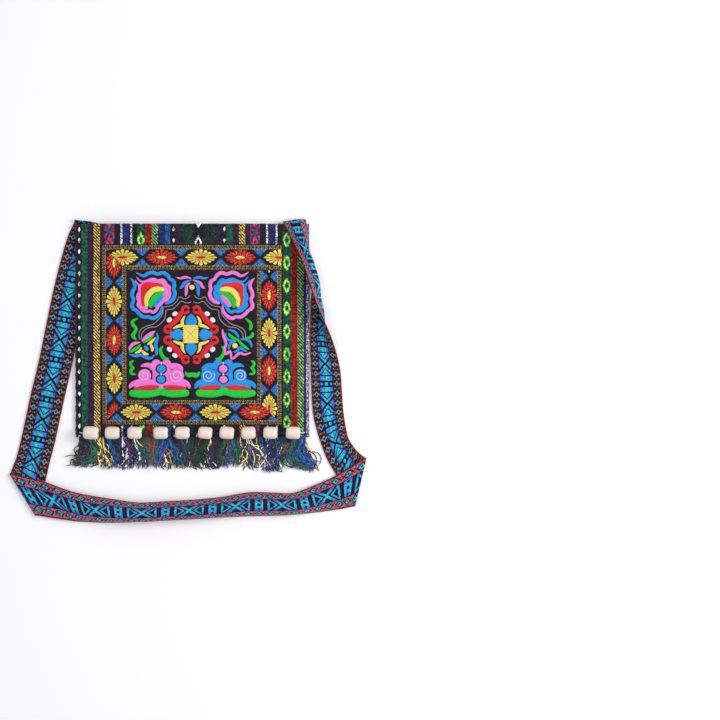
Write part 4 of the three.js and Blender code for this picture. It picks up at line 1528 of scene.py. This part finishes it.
def add_tube(mesh, line, sides):
    """A closed tube along a line of (x, y, z, radius), its ends drawn together."""
    last = len(line) - 1
    spots = [Vector(item[:3]) for item in line]
    frames = []
    for i in range(last + 1):
        run = (spots[min(i + 1, last)] - spots[max(i - 1, 0)]).normalized()
        side = run.cross(Vector((0, 0, 1)))
        side = side.normalized() if side.length > 1e-6 else Vector((1, 0, 0))
        frames.append((side, side.cross(run)))
    walked = distances(spots)

    def place(u, v):
        i = round(u * last)
        side, up = frames[i]
        angle = -2 * math.pi * v
        radius = line[i][3] if 0 < i < last else 0.0
        return spots[i] + (side * math.cos(angle) + up * math.sin(angle)) * radius

    return add_grid(mesh, last, sides, place, lambda u, v: (walked[round(u * last)], v))


def make_bead_thread():
    radius = THREAD_DIAMETER / 2
    edge = HALF_WIDTH - 1

    def seat(x):
        return front_top(x, BEAD_ROW) + GAP + radius

    route = [(-edge, BEAD_ROW, seat(-edge), radius)]
    for share, size in BEADS:
        x = share * BAG_WIDTH
        half = BEAD_LENGTH * size / 2 + THREAD_SLACK
        height = bead_height(x, size)
        route.append((x - half, BEAD_ROW, height, radius))
        route.append((x + half, BEAD_ROW, height, radius))
    route.append((edge, BEAD_ROW, seat(edge), radius))
    mesh = new_mesh()
    add_tube(mesh, through(route, 8), THREAD_SIDES)
    thread = yarn("bead thread", dye(26, 40, 36), dye(226, 222, 214))
    return finish_piece("bead_string", mesh, [thread], ["bead_thread"], 0.01)


# Fringe

# Locks of warp ends: x is a share of half the bag's width, lean and wide are shares of a lock's
# width, and long is a share of the fringe's length
FRONT_LOCKS = [
    (-0.93, -0.9, 0.92, 0.8),
    (-0.8, 0.2, 1.0, 1.15),
    (-0.63, -0.2, 0.93, 1.1),
    (-0.46, 0.25, 0.97, 1.15),
    (-0.29, -0.15, 0.92, 1.1),
    (-0.12, 0.15, 0.98, 1.15),
    (0.05, -0.2, 0.94, 1.15),
    (0.22, 0.2, 1.0, 1.1),
    (0.39, -0.1, 0.95, 1.15),
    (0.56, 0.25, 0.98, 1.1),
    (0.74, 0.1, 1.08, 1.2),
    (0.92, 1.15, 1.02, 0.8),
]
BACK_LOCKS = [
    (-0.9, -0.7, 0.95, 1.1),
    (-0.7, 0.3, 1.03, 1.2),
    (-0.5, -0.25, 0.98, 1.25),
    (-0.3, 0.2, 1.03, 1.25),
    (-0.1, -0.2, 0.97, 1.2),
    (0.1, 0.2, 1.02, 1.25),
    (0.3, -0.25, 0.99, 1.2),
    (0.5, 0.25, 1.03, 1.25),
    (0.7, -0.1, 1.07, 1.2),
    (0.9, 0.6, 1.1, 1.1),
]
STRAND_STEPS = 16
CURL_SWING = 0.62
STRAYED = 0.36

# Fringes: name, node, locks, height of their lowest strands, height of the locks, way and start of the
# stripes' repeat, strands in a lock, seed
FRINGES = [
    (
        "front_fringe", "fringe_front", FRONT_LOCKS, BACK_LOCK_HEIGHT + GAP, FRONT_LOCK_HEIGHT,
        1, FRONT_START, 58, 5,
    ),
    ("back_fringe", "fringe_back", BACK_LOCKS, 0.0, BACK_LOCK_HEIGHT, -1, BACK_START, 44, 8),
]

# The outermost front locks hang straight and then sweep outwards at their tips
END_LOCK_SHARE = 0.91
END_BEND = 1.15
END_BEND_START = -2.0
END_PUSH = 0.02
END_LEAN = 0.25
# They take the yarn of the stripes at the very edges, this far along the repeat on the left and right
END_STRIPES = (-7.0, 10.0)
END_STRAYED = 0.12
STRAND_SIDES = 5
STRAND_RADIUS = 0.74


def add_strand(mesh, lock, bend, base, height, dice):
    """One loose warp end of a lock, from its root at the cloth's edge to its curled tip. It follows
    the bend that its lock takes as a whole, with curls of its own."""
    share, lean, long, wide = lock
    bend_size, bend_start = bend
    side = dice.uniform(-1, 1)
    root_x = share * HALF_WIDTH + side * wide * LOCK_WIDTH * 0.5
    root_x = max(-HALF_WIDTH + 0.6, min(HALF_WIDTH - 0.6, root_x))
    length = long * FRINGE_LENGTH * dice.uniform(0.74, 1.05)
    steer = math.atan2(lean * LOCK_WIDTH - side * 2.0 + dice.gauss(0, 3.0), length)
    curl = abs(dice.gauss(0, CURL_SWING))
    waves, start = dice.uniform(0.8, 2.4), dice.uniform(0, 2 * math.pi)
    level = dice.uniform(0, 1) ** 0.7
    radius = STRAND_RADIUS * dice.uniform(0.7, 1.15)
    steps = STRAND_STEPS - 1
    headings = []
    for i in range(steps):
        t = (i + 0.5) / steps
        whole = bend_size * math.sin(bend_start + 4.2 * t)
        own = curl * math.sin(start + 2 * math.pi * waves * t)
        headings.append(steer + (whole + own) * min(1.0, t * 3))
    step = (length + 1.0) / sum(max(0.2, math.cos(heading)) for heading in headings)
    x, y = root_x, 1.0
    line = []
    for i in range(STRAND_STEPS):
        t = i / steps
        hump = math.sin(math.pi * min(1.0, t * 1.3 + 0.15))
        z = base + radius + level * (height - 2 * radius) * (0.35 + 0.65 * hump)
        line.append((x, y, z, radius * (1 - 0.35 * t)))
        if i < steps:
            x += step * math.sin(headings[i])
            y -= step * math.cos(headings[i])
    add_tube(mesh, line, STRAND_SIDES)
    return root_x


def make_fringe(name, node, locks, base, height, way, start, count, seed, material):
    """A row of loose warp ends. Their pattern coordinate is a stripe's place in the repeat, mostly that
    of the stripe they leave: some ends have strayed between the locks."""
    dice = random.Random(seed)
    mesh = new_mesh()
    layer = mesh.loops.layers.uv.active
    for lock in locks:
        bend = (dice.uniform(0.25, 0.6) * dice.choice((-1, 1)), dice.uniform(-0.6, 0.9))
        moved, strayed = 0.0, STRAYED
        if abs(lock[0]) > END_LOCK_SHARE:
            bend = (math.copysign(END_BEND, lock[0]), END_BEND_START)
            lock = (lock[0] + math.copysign(END_PUSH, lock[0]), lock[1] * END_LEAN, *lock[2:])
            moved, strayed = END_STRIPES[lock[0] > 0], END_STRAYED
        for _ in range(count):
            before = len(mesh.faces)
            root_x = add_strand(mesh, lock, bend, base, height, dice)
            mesh.faces.ensure_lookup_table()
            stray = dice.uniform(0, STRIPE_REPEAT) if dice.random() < strayed else dice.gauss(moved, 4.0)
            place = (way * (root_x - start) + stray) % STRIPE_REPEAT
            for index in range(before, len(mesh.faces)):
                for loop in mesh.faces[index].loops:
                    loop[layer].uv = (place, loop[layer].uv.x)
    return finish_piece(name, mesh, [material], [node], 0.003)


# Stitches of the hem, across the mouth of the front wall
STITCH_PITCH = 3.4
STITCH_LENGTH = 2.2
STITCH_RADIUS = 0.22
STITCH_RISE = 0.25
STITCH_STEPS = 4


def make_hem_stitches():
    mesh = new_mesh()
    y = BAG_HEIGHT - HEM_DEPTH + 0.6
    count = int(BAG_WIDTH / STITCH_PITCH) - 2
    for i in range(count):
        x = (i - (count - 1) / 2) * STITCH_PITCH
        line = []
        for k in range(STITCH_STEPS + 1):
            t = k / STITCH_STEPS
            at = x + (t - 0.5) * STITCH_LENGTH
            line.append((at, y, front_top(at, y) + STITCH_RISE * math.sin(math.pi * t), STITCH_RADIUS))
        add_tube(mesh, line, 6)
    return finish_piece("hem_stitches", mesh, [yarn("hem thread", dye(40, 44, 52))], [], 0.003)


# Table, lights and camera

PHOTO_SIDE = 720
PIXEL = 1.1
PHOTO_MIDDLE = (184.25, 84.7)
CAMERA_HEIGHT = 2.0
TABLE_REACH = 3.0
VIEW_MIDDLE = BAG_ORIGIN + Vector((*PHOTO_MIDDLE, 0)) * MM


def make_camera():
    """Straight above the middle of the picture."""
    camera = add_object("camera", bpy.data.cameras.new("camera"))
    camera.location = VIEW_MIDDLE + Vector((0, 0, CAMERA_HEIGHT))
    width = PHOTO_SIDE * PIXEL * MM
    camera.data.angle = 2 * math.atan(width / 2 / CAMERA_HEIGHT)
    bpy.context.scene.camera = camera


def make_table():
    mesh = bmesh.new()
    bmesh.ops.create_grid(mesh, x_segments=1, y_segments=1, size=TABLE_REACH)
    data = bpy.data.meshes.new("table")
    mesh.to_mesh(data)
    mesh.free()
    table = add_object("table", data)
    paint = Paint("white table", roughness=0.9)
    coordinates = paint.node("ShaderNodeTexCoord", output="Object")
    cloud = paint.noise(coordinates, 0.5)
    data.materials.append(paint.coat(paint.mix(dye(252, 252, 254), dye(254, 254, 255), cloud)))


# Soft lamps: name, place in metres from the picture's middle, size, power
LAMPS = [
    ("key lamp", (1.3, 0.25, 1.0), 0.8, 21.0),
    ("fill lamp", (-0.7, -0.5, 1.8), 2.0, 3.5),
]
# Strength and colour of the room's light from its sides and from overhead
ROOM_SIDES = 0.62
ROOM_ABOVE = 0.7
ROOM_COLOUR = (0.975, 0.962, 1.0, 1.0)
LAMP_COLOUR = (1.0, 1.0, 0.96)


def make_lights():
    for name, place, size, power in LAMPS:
        data = bpy.data.lights.new(name, "AREA")
        data.size = size
        data.energy = power
        data.color = LAMP_COLOUR
        lamp = add_object(name, data)
        lamp.location = VIEW_MIDDLE + Vector(place)
        lamp.rotation_mode = "QUATERNION"
        lamp.rotation_quaternion = (-Vector(place)).to_track_quat("-Z", "Y")
    world = bpy.data.worlds.new("room")
    world.use_nodes = True
    tree = world.node_tree
    background = tree.nodes["Background"]
    background.inputs["Color"].default_value = ROOM_COLOUR
    direction = tree.nodes.new("ShaderNodeTexCoord")
    split = tree.nodes.new("ShaderNodeSeparateXYZ")
    strength = tree.nodes.new("ShaderNodeMath")
    strength.operation = "MULTIPLY_ADD"
    strength.inputs[1].default_value = ROOM_ABOVE - ROOM_SIDES
    strength.inputs[2].default_value = ROOM_SIDES
    tree.links.new(direction.outputs["Generated"], split.inputs[0])
    tree.links.new(split.outputs["Z"], strength.inputs[0])
    tree.links.new(strength.outputs[0], background.inputs["Strength"])
    bpy.context.scene.world = world
    bpy.context.scene.view_settings.view_transform = "Standard"


make_camera()
make_table()
make_lights()
make_strap()
make_pouch()
make_patch()
make_embroidery()
ribbon_material = flower_ribbon()
for ribbon_row in RIBBONS:
    make_ribbon(*ribbon_row, ribbon_material)
wood = pale_wood()
bead_dice = random.Random(3)
for bead_number, (bead_share, bead_size) in enumerate(BEADS, 1):
    make_bead(bead_number, bead_share, bead_size, wood, bead_dice)
make_bead_thread()
fringe_material = fringe_yarn()
for fringe_row in FRINGES:
    make_fringe(*fringe_row, fringe_material)
make_hem_stitches()
